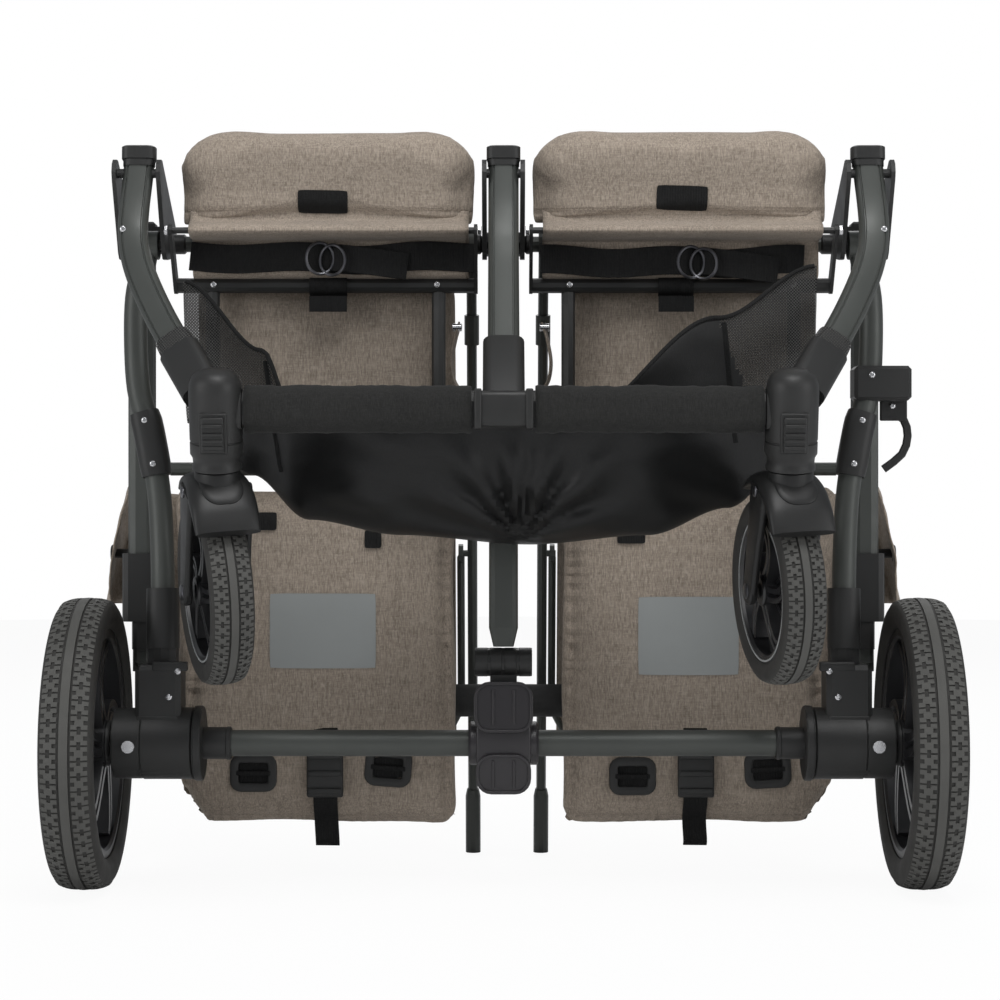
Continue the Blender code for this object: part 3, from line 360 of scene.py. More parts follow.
# %% Dress the CAD nodes
NODE_FINISHES = (
    ("rear_axle_rod", bright_steel), ("wheel_release_pin", bright_steel), ("rear_axle_tube", frame_paint),
    ("rear_leg", frame_paint), ("front_leg", frame_paint), ("main_tube", frame_paint),
    ("main_cross", frame_paint),
    ("centre_post", frame_paint), ("seat_frame", black_plastic), ("recline_bar", frame_paint),
    ("handle_grip", grip_foam),
    ("handle", frame_paint), ("hood_bow", frame_paint), ("rear_tyre", tyre_rubber),
    ("front_tyre", tyre_rubber),
    ("rear_rim", rim_plastic), ("front_rim", rim_plastic), ("brake_pedal", pedal_plastic),
    ("cross_bar_sleeve", sleeve_cloth),
)


def finish_of(name):
    return next((material for start, material in NODE_FINISHES if name.startswith(start)), black_plastic)


for name, piece in nodes.items():
    for slot in piece.material_slots:
        slot.material = finish_of(name)
print("nodes dressed", len(nodes))

# %% [markdown]
# Small helpers turn lists of points into meshes. Each finished piece has its place in its vertices and its
# object at the origin, because a pattern must not slide on it.

# %% Mesh helpers
DEPTH = -0.0245
ROUNDED_E = 2.718


def bell(share):
    """1 at a share of 0, about 0.37 at 1, and soon nothing beyond."""
    return ROUNDED_E ** (-(share ** 2))


def at(x, y, z):
    """A point of the stroller measured from its rear axle, in the frame's own coordinates."""
    return Vector((x, y + DEPTH, z))


def piece_from(bm, name, material, smooth=True):
    bmesh.ops.remove_doubles(bm, verts=bm.verts, dist=1e-6)
    bmesh.ops.recalc_face_normals(bm, faces=bm.faces)
    mesh = bpy.data.meshes.new(name)
    bm.to_mesh(mesh)
    bm.free()
    mesh.materials.append(material)
    if smooth:
        mesh.shade_smooth()
        mesh.set_sharp_from_angle(angle=radians(38))
    made = bpy.data.objects.new(name, mesh)
    scene.collection.objects.link(made)
    return made


def bake_modifiers(made):
    """Replaces a piece's mesh by what its modifiers make of it."""
    graph = bpy.context.evaluated_depsgraph_get()
    mesh = bpy.data.meshes.new_from_object(made.evaluated_get(graph))
    made.modifiers.clear()
    made.data = mesh
    return made


def subdivided(made, levels=1):
    smoother = made.modifiers.new("smoother", "SUBSURF")
    smoother.levels = smoother.render_levels = levels
    return bake_modifiers(made)


def weld(parts, name):
    """Joins finished pieces into one mesh that keeps each one's material."""
    with bpy.context.temp_override(active_object=parts[0], selected_editable_objects=parts, object=parts[0]):
        bpy.ops.object.join()
    parts[0].name = parts[0].data.name = name
    return parts[0]


def smooth_line(points, steps=4):
    """Points on a Catmull-Rom curve through the given ones."""
    points = [Vector(p) for p in points]
    padded = [2 * points[0] - points[1], *points, 2 * points[-1] - points[-2]]
    curve = []
    for a, b, c, d in zip(padded, padded[1:], padded[2:], padded[3:]):
        for i in range(steps):
            t = i / steps
            curve.append(0.5 * (2 * b + (c - a) * t + (2 * a - 5 * b + 4 * c - d) * t * t
                                + (3 * b - a - 3 * c + d) * t ** 3))
    return [*curve, points[-1]]


def add_sweep(bm, line, outline, towards=(0, 1, 0), scales=None, closed=False):
    """Adds a tube to a bmesh: the outline carried along the line, its second axis turned towards a direction."""
    line = [Vector(p) for p in line]
    rings = []
    count = len(line)
    for i, point in enumerate(line):
        before = line[i - 1] if closed or i else line[0]
        after = line[(i + 1) % count] if closed or i < count - 1 else line[-1]
        tangent = (after - before).normalized()
        deep = Vector(towards[i]) if isinstance(towards, list) else Vector(towards)
        deep = (deep - deep.dot(tangent) * tangent).normalized()
        wide = deep.cross(tangent)
        scale = scales[i] if scales else 1.0
        rings.append([bm.verts.new(point + scale * (a * wide + b * deep)) for a, b in outline])
    pairs = list(zip(rings, rings[1:])) + ([(rings[-1], rings[0])] if closed else [])
    for first, second in pairs:
        for i in range(len(outline)):
            j = (i + 1) % len(outline)
            bm.faces.new((first[i], first[j], second[j], second[i]))
    if not closed:
        bm.faces.new(rings[0])
        bm.faces.new(rings[-1])


def add_skin(bm, rings):
    """Adds a closed skin over rings of points that all have the same count."""
    rings = [[bm.verts.new(point) for point in ring] for ring in rings]
    for first, second in zip(rings, rings[1:]):
        for i in range(len(first)):
            j = (i + 1) % len(first)
            bm.faces.new((first[i], first[j], second[j], second[i]))
    bm.faces.new(rings[0])
    bm.faces.new(rings[-1])


def round_outline(radius, count=12):
    return [(radius * cos(2 * pi * i / count), radius * sin(2 * pi * i / count)) for i in range(count)]


def box_outline(width, depth, radius, arc=3):
    outline = []
    for sx, sy, start in ((1, 1, 0), (-1, 1, pi / 2), (-1, -1, pi), (1, -1, 3 * pi / 2)):
        for i in range(arc + 1):
            angle = start + pi / 2 * i / arc
            outline.append((sx * (width / 2 - radius) + radius * cos(angle),
                            sy * (depth / 2 - radius) + radius * sin(angle)))
    return outline


def between(value, stops):
    """Smooth steps between (place, value) stops."""
    if value <= stops[0][0]:
        return stops[0][1]
    for (a, low), (b, high) in zip(stops, stops[1:]):
        if value <= b:
            t = (value - a) / (b - a)
            return low + (high - low) * t * t * (3 - 2 * t)
    return stops[-1][1]


print("helpers ready")

# %% [markdown]
# The padded pieces of a stroller are foam in a cloth cover. Each one starts as a pillow: a grid mapped to the
# panel's outline, front and back, thin at the rim. The cover is then inflated by a short cloth simulation, whose
# movement is capped so that the pad stays in its place, and the sewn lines are pressed in afterwards, because
# the remesh that the simulation needs would melt them away.

# %% Pads
def pillow(name, material, edges, z_range, y_range, rim=0.35, columns=26, rows=30, power=8, lean=None):
    """A closed pillow square to Y; edges(z) gives its left and right X, lean(z) sets its front back."""
    z0, z1 = z_range
    middle, half = sum(y_range) / 2, (y_range[1] - y_range[0]) / 2
    bm = bmesh.new()
    sheets = []
    for way in (-1, 1):
        sheet = []
        for r in range(rows + 1):
            v = -cos(pi * r / rows) * 0.35 + (-1 + 2 * r / rows) * 0.65
            z = z0 + (z1 - z0) * (v + 1) / 2
            left, right = edges(z)
            line = []
            for c in range(columns + 1):
                u = -cos(pi * c / columns) * 0.35 + (-1 + 2 * c / columns) * 0.65
                swell = ((1 - abs(u) ** power) * (1 - abs(v) ** power)) ** 0.5
                inside_rim = 0 < r < rows and 0 < c < columns
                thick = half * (rim + (1 - rim) * swell) if inside_rim else half * rim * 0.5
                back = lean(z) if lean and way < 0 else 0.0
                line.append(bm.verts.new(at(left + (right - left) * (u + 1) / 2,
                                            middle + way * thick + back, z)))
            sheet.append(line)
        for r in range(rows):
            for c in range(columns):
                bm.faces.new((sheet[r][c], sheet[r][c + 1], sheet[r + 1][c + 1], sheet[r + 1][c]))
        sheets.append([*sheet[0], *[line[-1] for line in sheet[1:-1]], *sheet[-1][::-1],
                       *[line[0] for line in sheet[1:-1]][::-1]])
    for i in range(len(sheets[0])):
        j = (i + 1) % len(sheets[0])
        bm.faces.new((sheets[0][i], sheets[0][j], sheets[1][j], sheets[1][i]))
    return piece_from(bm, name, material)


def inflate(pad, most, voxel=0.006, pressure=4.0, steps=20):
    """Blows the cover up a little with a capped cloth simulation, then smooths it once."""
    remesh = pad.modifiers.new("even_faces", "REMESH")
    remesh.mode = "VOXEL"
    remesh.voxel_size = voxel
    bake_modifiers(pad)
    start = [vertex.co.copy() for vertex in pad.data.vertices]
    cover = pad.modifiers.new("cover", "CLOTH")
    cover.settings.use_pressure = True
    cover.settings.uniform_pressure_force = pressure
    cover.settings.effector_weights.gravity = 0.0
    cover.point_cache.frame_start = 1
    cover.point_cache.frame_end = steps
    for step in range(1, steps + 1):
        scene.frame_set(step)
    bake_modifiers(pad)
    scene.frame_set(1)
    for vertex, place in zip(pad.data.vertices, start):
        moved = vertex.co - place
        if moved.length > most:
            vertex.co = place + moved.normalized() * most
    return subdivided(pad)


def press_lines(pad, lines, width=0.0035, depth=0.0018, pucker=0.0):
    """Presses sewn lines, given as (X, Z) points, into the front of a pad, with puckers beside them."""
    for vertex in pad.data.vertices:
        if vertex.normal.y > 0.2:
            continue
        here = Vector((vertex.co.x, vertex.co.z))
        for line in lines:
            for first, second in zip(line, line[1:]):
                first, second = Vector(first), Vector(second)
                run = second - first
                t = max(0.0, min(1.0, (here - first).dot(run) / run.length_squared))
                gap = (here - first - t * run).length
                if gap < 6 * width:
                    along = (here - first).dot(run) / run.length
                    fading = ROUNDED_E ** (-gap / (2.2 * width))
                    fold = pucker * sin(along * 520 + 2 * sin(along * 90)) * fading
                    vertex.co.y += depth * bell(gap / width) + fold
    pad.data.update()


def crumple(pad, amount, size=(9.0, 9.0, 5.0), seed=0.0, front_only=False):
    """Moves a cover in and out by smooth noise, as cloth that has been sat on."""
    for vertex in pad.data.vertices:
        if front_only and vertex.normal.y > 0:
            continue
        place = Vector((vertex.co.x * size[0], vertex.co.y * size[1], vertex.co.z * size[2] + seed))
        vertex.co += vertex.normal * amount * noise.noise(place)
    pad.data.update()


def finish_pad(pad, body, node):
    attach(pad, body)
    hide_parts(node)
    print(pad.name, len(pad.data.polygons), "faces")


# %% [markdown]
# The backrests hang lowest when the stroller is folded. Their lower corners, which are the top of the seat in
# use, are cut off at an angle, and a sewn line runs down each side of the board with its cloth puckered.

# %% Backrests
def chamfered(x_inner, x_outer, z_low, cut, slope_in=0.0):
    """Edges of a panel whose lower outer corner is cut off and whose upper part narrows a little."""
    way = 1 if x_outer > x_inner else -1

    def edges(z):
        outer = x_outer - way * cut * max(0.0, 1 - (z - z_low) / (1.45 * cut)) ** 1.1
        inner = x_inner + way * 0.012 * max(0.0, 1 - (z - z_low) / 0.016) ** 2
        top = max(0.0, (z - 0.335) / 0.015) ** 2
        outer -= way * 0.006 * top
        inner += way * (0.006 * top + slope_in * (z - z_low))
        return min(outer, inner), max(outer, inner)

    return edges


BACKRESTS = {"left": (-0.0370, -0.3000), "right": (0.0465, 0.3045)}
for side, (inner, outer) in BACKRESTS.items():
    way = 1 if outer > inner else -1
    pad = pillow("backrest_pad_" + side, seat_fabric, chamfered(inner, outer, 0.036, 0.030),
                 (0.037, 0.349), (0.0920, 0.1180))
    inflate(pad, 0.006)
    piping = inner + way * 0.014
    far_line = outer - way * 0.030
    press_lines(pad, [[(piping, 0.052), (piping + way * 0.002, 0.200), (piping, 0.340)],
                      [(far_line + way * 0.0015, 0.040), (far_line + way * 0.0165, 0.070),
                       (far_line + way * 0.0155, 0.105),
                       (far_line + way * 0.006, 0.160), (far_line, 0.340)],
                      [(inner + way * 0.01, 0.0475), (outer - way * 0.030, 0.0475)]],
                width=0.0042, depth=0.0030, pucker=0.0012)
    crumple(pad, 0.0045, size=(15.0, 9.0, 9.0), seed=4.0 if side == "left" else 9.0)
    finish_pad(pad, "backrest_" + side, "backrest_" + side)

# %% [markdown]
# The seat pads are thinner, and their undersides face the camera above the basket. The calf rests stand on top:
# their upper corners are well rounded and their lower edge is hemmed flat.

# %% Seat pads
def rounded(x_inner, x_outer, z_low, z_high, low_corner, high_corner, stretch=1.0):
    """Edges of a panel with round corners of one radius below and another above, stretched sideways."""
    way = 1 if x_outer > x_inner else -1

    def corner(radius, gap):
        if gap >= radius:
            return 0.0
        return radius - (radius ** 2 - (radius - max(gap, 0.0)) ** 2) ** 0.5

    def edges(z):
        cut = corner(low_corner, z - z_low) + stretch * corner(high_corner, z_high - z)
        outer, inner = x_outer - way * cut * 0.985, x_inner + way * cut * 0.985
        return min(outer, inner), max(outer, inner)

    return edges


SEAT_PADS = {"left": (-0.0370, -0.2770), "right": (0.0455, 0.2820)}
for side, (inner, outer) in SEAT_PADS.items():
    way = 1 if outer > inner else -1
    pad = pillow("seat_cushion_" + side, seat_fabric, rounded(inner, outer, 0.386, 0.531, 0.016, 0.012),
                 (0.386, 0.531), (0.0640, 0.0900))
    inflate(pad, 0.0045)
    side_line = outer - way * 0.024
    press_lines(pad, [[(inner + way * 0.020, 0.392), (inner + way * 0.020, 0.526)],
                      [(side_line, 0.392), (side_line, 0.526)]])
    crumple(pad, 0.0018, seed=14.0 if side == "left" else 19.0)
    finish_pad(pad, "seat_frame", "seat_pad_" + side)

# %% Calf rests
def calf_lean(z):
    """The rest's front is fullest near its top and falls back towards the hem."""
    return between(z, ((0.590, 0.0105), (0.640, 0.0)))


CALF_RESTS = {"left": (-0.0205, -0.2820), "right": (0.0205, 0.2840)}
for side, (inner, outer) in CALF_RESTS.items():
    way = 1 if outer > inner else -1
    pad = pillow("calf_pad_" + side, seat_fabric, rounded(inner, outer, 0.572, 0.6565, 0.008, 0.040, 1.35),
                 (0.572, 0.6565), (0.0005, 0.0290), rim=0.30, columns=34, rows=24, power=5, lean=calf_lean)
    inflate(pad, 0.0045, voxel=0.005)
    press_lines(pad, [[(inner + way * 0.006, 0.5835), (outer - way * 0.006, 0.5835)]], width=0.0022,
                depth=0.0014, pucker=0.0003)
    crumple(pad, 0.0016, seed=24.0 if side == "left" else 29.0)
    finish_pad(pad, "calf_rest_" + side, "calf_rest_" + side)

# %% [markdown]
# The basket is one sewn cloth bag with a net panel at each side. Folded, it hangs in front of the seats from the
# cross bar and the front legs: a sheet that drops, sags and turns up behind, with loose folds. Its surface is a
# grid over the width and the drop, and the net panels are faces of the same grid with their own finish.

# %% Net: round holes on a diamond grid
net, inside, out = new_group("net_holes", (("Pitch", "Float", 0.0026),),
                             (("Holes", "Float"), ("Threads", "Float")))
place = add(net, "SeparateXYZ", Vector=add(net, "TexCoord").outputs["Object"])
turns = maths(net, "DIVIDE", 2 * pi, inside.outputs["Pitch"])
one_way = maths(net, "ADD", place.outputs["X"], place.outputs["Z"])
other_way = maths(net, "SUBTRACT", place.outputs["X"], place.outputs["Z"])
waves = [maths(net, "COSINE", maths(net, "MULTIPLY", way, turns)) for way in (one_way, other_way)]
pattern = maths(net, "ADD", *waves)
net.links.new(spread(net, pattern, 0.15, 0.75), out.inputs["Holes"])
net.links.new(spread(net, pattern, -1.6, -0.2, 1.0, 0.0), out.inputs["Threads"])


def net_finish(name, dark, light):
    material, tree, shader = finish(name, dark, 0.75)
    holes = placed(tree, net)
    tree.links.new(blend_colours(tree, holes.outputs["Threads"], dark, light), shader.inputs["Base Color"])
    tree.links.new(maths(tree, "SUBTRACT", 1.0, maths(tree, "MULTIPLY", holes.outputs["Holes"], 0.55)),
                   shader.inputs["Alpha"])
    return material


basket_net = net_finish("basket_net", (0.010, 0.010, 0.0105), (0.060, 0.058, 0.052))
print("group", net.name)

# %% Basket
BASKET_TOP = ((-0.268, 0.517), (-0.200, 0.458), (-0.176, 0.412), (-0.120, 0.398), (0.056, 0.398),
              (0.176, 0.484),
              (0.262, 0.530))
BASKET_LOW = ((-0.268, 0.400), (-0.213, 0.356), (-0.165, 0.318), (-0.087, 0.305), (0.022, 0.297),
              (0.123, 0.305), (0.190, 0.328), (0.262, 0.395))


def basket_point(x, t):
    """A point of the bag: t runs from its top edge in front, down, and up again behind."""
    top, low = between(x, BASKET_TOP), between(x, BASKET_LOW)
    front = between(abs(x), ((0.10, -0.130), (0.25, -0.058)))
    loose = sin(pi * min(t / 0.72, 1.0))
    if t < 0.72:
        s = t / 0.72
        y = front + (-0.028 - front) * s ** 1.6
        z = top + (low - top) * sin(s * pi / 2) ** 1.15
    else:
        s = (t - 0.72) / 0.28
        y = -0.028 + 0.018 * sin(s * pi / 2)
        z = low + 0.055 * s * s
    creases = noise.noise(Vector((x * 9, z * 34 + x * 12, 1.5))) + 0.5 * noise.noise(Vector((x * 30, z * 60,
                                                                                             7.0)))
    swags = sin(62 * (z - 0.9 * (x - 0.022) ** 2) + 1.2)
    pleat = bell((x - 0.022 - 0.25 * (0.34 - z)) / 0.006)
    reach = Vector((x - 0.014, z - 0.302))
    fan = sin(13 * atan2(reach.y, reach.x) + 1.4) * bell((reach.length - 0.055) / 0.055)
    y += loose * (0.0065 * creases + 0.0035 * swags + 0.0060 * fan) - 0.005 * pleat * loose
    z += 0.0025 * loose * noise.noise(Vector((x * 14, t * 6, 3.0)))
    return at(x, y, z)


def is_net(x, z):
    left = x < -0.176 and z > 0.40 or x < -0.232
    right = (x > 0.172 + 0.45 * max(0.0, 0.49 - z) and z > 0.405) or x > 0.252
    return left or right


def basket_piece(columns=150, rows=56):
    bm = bmesh.new()
    grid = [[bm.verts.new(basket_point(-0.268 + 0.530 * c / columns, r / rows)) for r in range(rows + 1)]
            for c in range(columns + 1)]
    for first, second in zip(grid, grid[1:]):
        for r in range(rows):
            face = bm.faces.new((first[r], second[r], second[r + 1], first[r + 1]))
            middle = face.calc_center_median()
            face.material_index = 1 if is_net(middle.x, middle.z) and r < 0.8 * rows else 0
    bag = piece_from(bm, "basket_bag", basket_cloth)
    bag.data.materials.append(basket_net)
    wall = bag.modifiers.new("wall", "SOLIDIFY")
    wall.thickness, wall.offset = 0.0016, 0.0
    return bake_modifiers(bag)


bag = basket_piece()
binding_bm = bmesh.new()
add_sweep(binding_bm, [basket_point(-0.266 + 0.526 * i / 120, 0.0) for i in range(121)],
          box_outline(0.0034, 0.0060, 0.001, 1))
for x_at, top, low in ((-0.197, 0.04, 0.40), (0.181, 0.02, 0.36)):
    add_sweep(binding_bm, [basket_point(x_at + 0.012 * i / 16,
                                        top + (low - top) * i / 16) - Vector((0, 0.0016,
                                                                              0)) for i in range(17)],
              box_outline(0.0016, 0.0050, 0.0005, 1), (1, 0, 0))
binding = piece_from(binding_bm, "basket_binding", webbing_cloth)
for made in (bag, binding):
    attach(made, "front_frame")
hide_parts("basket")

# %% [markdown]
# Two padded sleeves are pulled over the cross bar. Each is a flat oval tube with soft creases and a turned hem
# at both ends.

# %% Cross-bar sleeves
def oval(width, depth, count=28):
    """A flat oval outline, as from a tube pressed between two boards."""
    outline = []
    for i in range(count):
        angle = 2 * pi * i / count
        c, s = cos(angle), sin(angle)
        outline.append((width / 2 * abs(c) ** 0.62 * (1 if c >= 0 else -1),
                        depth / 2 * abs(s) ** 0.80 * (1 if s >= 0 else -1)))
    return outline


for side, way in (("left", -1), ("right", 1)):
    steps = 90
    line, scales = [], []
    for i in range(steps + 1):
        t = i / steps
        x = way * (0.0252 + 0.1818 * t)
        hem = max(bell((t - 0.02) / 0.018), bell((t - 0.98) / 0.018))
        line.append(at(x, -0.154, 0.4065))
        scales.append(1.0 + 0.035 * hem - 0.02 * (t < 0.005 or t > 0.995))
    bm = bmesh.new()
    add_sweep(bm, line, oval(0.038, 0.026), scales=scales)
    sleeve = piece_from(bm, "bar_sleeve_" + side, sleeve_cloth)
    crumple(sleeve, 0.0011, size=(60.0, 30.0, 14.0), seed=2.0 * way)
    crumple(sleeve, 0.0007, size=(160.0, 50.0, 30.0), seed=5.0 * way)
    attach(sleeve, "front_frame")
    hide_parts("cross_bar_sleeve_" + side)
print("sleeves made")

# %% [markdown]
# Each hood is a cloth canopy on a wire bow. Folded, its cloth gathers in overlapping pleats behind the
# backrest, and its wing stays with the main frame. The gathered cloth is a loop that closes at both sides.

# %% Hoods
HOOD_PIVOT, POST_FOOT = (0.150, 0.285), (0.2225, 0.0)
HOOD_WAY = Vector((POST_FOOT[0] - HOOD_PIVOT[0], POST_FOOT[1] - HOOD_PIVOT[1])).normalized()
HOOD_LOOP = ((0.196, -0.0035), (0.135, 0.000), (0.100, -0.0060), (0.006, -0.0065), (-0.012, -0.0045),
             (-0.046, 0.003),
             (-0.052, 0.010), (-0.048, 0.017), (-0.014, 0.025))


def hood_place(along, out):
    """(Y, Z) at a distance along the folded hood from its pivot, and out from its plane."""
    y = HOOD_PIVOT[0] + along * HOOD_WAY.x - out * HOOD_WAY.y
    z = HOOD_PIVOT[1] + along * HOOD_WAY.y + out * HOOD_WAY.x
    return y, z


def pleated_back(t):
    """The hood's back from its top down to the bow: cloth in overlapping folds."""
    along = -0.014 + 0.216 * t
    swell = between(along, ((0.006, 0.019), (0.060, 0.0265), (0.120, 0.0275), (0.170, 0.024), (0.202, 0.012)))
    step = (t * 5) % 1.0
    return along, swell + 0.0045 * (step ** 0.6) - 0.0030


def hood_cloth(side, inner, outer, columns=70):
    loop = [Vector((*p, 0)) for p in HOOD_LOOP[::-1]]
    loop = [(p.x, p.y) for p in smooth_line(loop, 4)][::-1]
    loop += [pleated_back(i / 44) for i in range(1, 45)]
    middle = sum(out for _, out in loop) / len(loop)
    bm = bmesh.new()
    rings = []
    for c in range(columns + 1):
        u = c / columns
        x = inner + (outer - inner) * u
        close = max(0.12, 1 - (2 * abs(u - 0.5)) ** 14)
        ring = []
        for along, out in loop:
            sag = 0.004 * noise.noise(Vector((x * 16, along * 22, 3.0 + inner))) * close
            y, z = hood_place(along - 0.006 * (1 - close),
                              middle + (out - middle) * close + sag * (out > 0.012))
            ring.append(bm.verts.new(at(x, y, z)))
        rings.append(ring)
    for first, second in zip(rings, rings[1:]):
        for i in range(len(loop)):
            j = (i + 1) % len(loop)
            bm.faces.new((first[i], first[j], second[j], second[i]))
    bm.faces.new(rings[0])
    bm.faces.new(rings[-1])
    return piece_from(bm, "hood_canopy_" + side, seat_fabric)


def hood_wing(side, way):
    """The flap of canopy that comes round the outside of the main tube."""
    bm = bmesh.new()
    grid = []
    for r in range(23):
        t = r / 22
        z = 0.238 + 0.108 * t
        reach = sin(pi * (0.04 + 0.90 * t)) ** 0.6
        out = 0.3545 + 0.011 * (1 - t) - 0.009 * t
        bend = smooth_line([(0.3462, 0.174, z), (out - 0.0055, 0.173, z),
                            (out - 0.001, 0.168 - 0.010 * reach, z),
                            (out, 0.164 - 0.026 * reach, z),
                            (out - 0.0055 + 0.003 * reach, 0.161 - 0.045 * reach, z)], 4)
        line = []
        for p in bend:
            ripple = 0.0022 * noise.noise(Vector((p.x * 60, p.y * 60, p.z * 45 + way)))
            line.append(bm.verts.new(at(way * (p.x + ripple), p.y, p.z)))
        grid.append(line)
    for low, high in zip(grid, grid[1:]):
        for a, b, c, d in zip(low, low[1:], high[1:], high):
            bm.faces.new((a, b, c, d))
    wing = piece_from(bm, "hood_wing_" + side, seat_fabric)
    wall = wing.modifiers.new("wall", "SOLIDIFY")
    wall.thickness, wall.offset = 0.0016, 0.0
    return bake_modifiers(wing)


HOODS = {"left": (-0.0440, -0.3260), "right": (0.0500, 0.3260)}
for side, (inner, outer) in HOODS.items():
    way = 1 if outer > inner else -1
    canopy = hood_cloth(side, inner, outer)
    wing = hood_wing(side, way)
    wall = canopy.modifiers.new("wall", "SOLIDIFY")
    wall.thickness, wall.offset = 0.0012, -1.0
    bake_modifiers(canopy)
    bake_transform(canopy)
    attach(wing, "main_frame")
    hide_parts("hood_fabric_" + side)

# %% [markdown]
# What repeats on the stroller is made once and copied by Geometry Nodes. One tree turns copies round an axle,
# for tread blocks and spokes. Another sets a screw on each of a set of places and turns each one by chance.

# %% Geometry trees
def geometry_tree(name, inputs):
    tree = bpy.data.node_groups.new(name, "GeometryNodeTree")
    tree.interface.new_socket("Geometry", in_out="INPUT", socket_type="NodeSocketGeometry")
    for label, kind, value in inputs:
        socket = tree.interface.new_socket(label, in_out="INPUT", socket_type="NodeSocket" + kind)
        if value is not None:
            socket.default_value = value
    tree.interface.new_socket("Geometry", in_out="OUTPUT", socket_type="NodeSocketGeometry")
    return tree, tree.nodes.new("NodeGroupInput"), tree.nodes.new("NodeGroupOutput")


def settle(tree, instances, material, out):
    """The end of every tree: instances made real, with one material."""
    real = tree.nodes.new("GeometryNodeRealizeInstances")
    paint = tree.nodes.new("GeometryNodeSetMaterial")
    tree.links.new(instances, real.inputs[0])
    tree.links.new(real.outputs[0], paint.inputs["Geometry"])
    tree.links.new(material, paint.inputs["Material"])
    tree.links.new(paint.outputs[0], out.inputs[0])


def run_tree(made, tree, **values):
    """Puts a tree on a piece, sets its inputs by name, and keeps what it makes as plain faces."""
    copies = made.modifiers.new(tree.name, "NODES")
    copies.node_group = tree
    for item in tree.interface.items_tree:
        if item.item_type == "SOCKET" and item.in_out == "INPUT" and item.name in values:
            copies[item.identifier] = values[item.name]
    return bake_modifiers(made)


def node_in(tree, kind, operation=None):
    made = tree.nodes.new(kind)
    if operation:
        made.operation = operation
    return made


round_copies, inside, out = geometry_tree(
    "round_copies", (("Count", "Int", 12), ("Phase", "Float", 0.0), ("Material", "Material", None)))
line = node_in(round_copies, "GeometryNodeMeshLine")
line.inputs["Offset"].default_value = (0, 0, 0)
round_copies.links.new(inside.outputs["Count"], line.inputs["Count"])
share = node_in(round_copies, "ShaderNodeMath", "DIVIDE")
round_copies.links.new(node_in(round_copies, "GeometryNodeInputIndex").outputs[0], share.inputs[0])
round_copies.links.new(inside.outputs["Count"], share.inputs[1])
angle = node_in(round_copies, "ShaderNodeMath", "MULTIPLY_ADD")
angle.inputs[1].default_value = 2 * pi
round_copies.links.new(share.outputs[0], angle.inputs[0])
round_copies.links.new(inside.outputs["Phase"], angle.inputs[2])
turn = node_in(round_copies, "ShaderNodeCombineXYZ")
round_copies.links.new(angle.outputs[0], turn.inputs["X"])
copies = node_in(round_copies, "GeometryNodeInstanceOnPoints")
round_copies.links.new(line.outputs[0], copies.inputs["Points"])
round_copies.links.new(inside.outputs["Geometry"], copies.inputs["Instance"])
round_copies.links.new(turn.outputs[0], copies.inputs["Rotation"])
settle(round_copies, copies.outputs[0], inside.outputs["Material"], out)

on_places, inside, out = geometry_tree(
    "on_places", (("Shape", "Object", None), ("Facing", "Vector", (0, 0, 0)), ("Least turn", "Float", 0.0),
                  ("Most turn", "Float", 0.0), ("Seed", "Int", 5), ("Material", "Material", None)))
shape = node_in(on_places, "GeometryNodeObjectInfo")
on_places.links.new(inside.outputs["Shape"], shape.inputs["Object"])
chance = node_in(on_places, "FunctionNodeRandomValue")
for source, target in (("Least turn", "Min"), ("Most turn", "Max")):
    on_places.links.new(inside.outputs[source],
                        next(s for s in chance.inputs if s.name == target and s.type == "VALUE"))
on_places.links.new(inside.outputs["Seed"], chance.inputs["Seed"])
spin = node_in(on_places, "ShaderNodeCombineXYZ")
on_places.links.new(next(s for s in chance.outputs if s.type == "VALUE"), spin.inputs["Z"])
copies = node_in(on_places, "GeometryNodeInstanceOnPoints")
on_places.links.new(inside.outputs["Geometry"], copies.inputs["Points"])
on_places.links.new(shape.outputs["Geometry"], copies.inputs["Instance"])
on_places.links.new(inside.outputs["Facing"], copies.inputs["Rotation"])
turned = node_in(on_places, "GeometryNodeRotateInstances")
on_places.links.new(copies.outputs[0], turned.inputs["Instances"])
on_places.links.new(spin.outputs[0], turned.inputs["Rotation"])
settle(on_places, turned.outputs[0], inside.outputs["Material"], out)
print("trees", round_copies.name, on_places.name)

# %% [markdown]
# A tyre is a moulded ring: smooth walls, a plain rib round its middle, and a band of interlocking blocks on each
# side of it. The ring is a turned profile, and each band is one block copied round the wheel.

# %% Tyres
tread_rubber = hard_finish("tread_rubber", (0.062, 0.061, 0.056), 0.70, grain_size=1100.0, depth=0.35,
                           patch=0.5)
BLOCK = ((-0.44, 0.0), (-0.14, 0.0), (-0.14, 0.24), (0.14, 0.24), (0.14, 0.0), (0.44, 0.0), (0.44, 0.38),
         (0.24, 0.38),
         (0.24, 0.62), (0.44, 0.62), (0.44, 1.0), (0.14, 1.0), (0.14, 0.76), (-0.14, 0.76), (-0.14, 1.0),
         (-0.44, 1.0),
         (-0.44, 0.62), (-0.24, 0.62), (-0.24, 0.38), (-0.44, 0.38))


def turned(bm, profile, count, closed=True):
    """Adds a ring round the X axis, from (X, radius) points."""
    rings = []
    for k in range(count):
        angle = 2 * pi * k / count
        rings.append([bm.verts.new((x, r * cos(angle), r * sin(angle))) for x, r in profile])
    for first, second in zip(rings, [*rings[1:], rings[0]]):
        for i in range(len(profile) if closed else len(profile) - 1):
            j = (i + 1) % len(profile)
            bm.faces.new((first[i], first[j], second[j], second[i]))


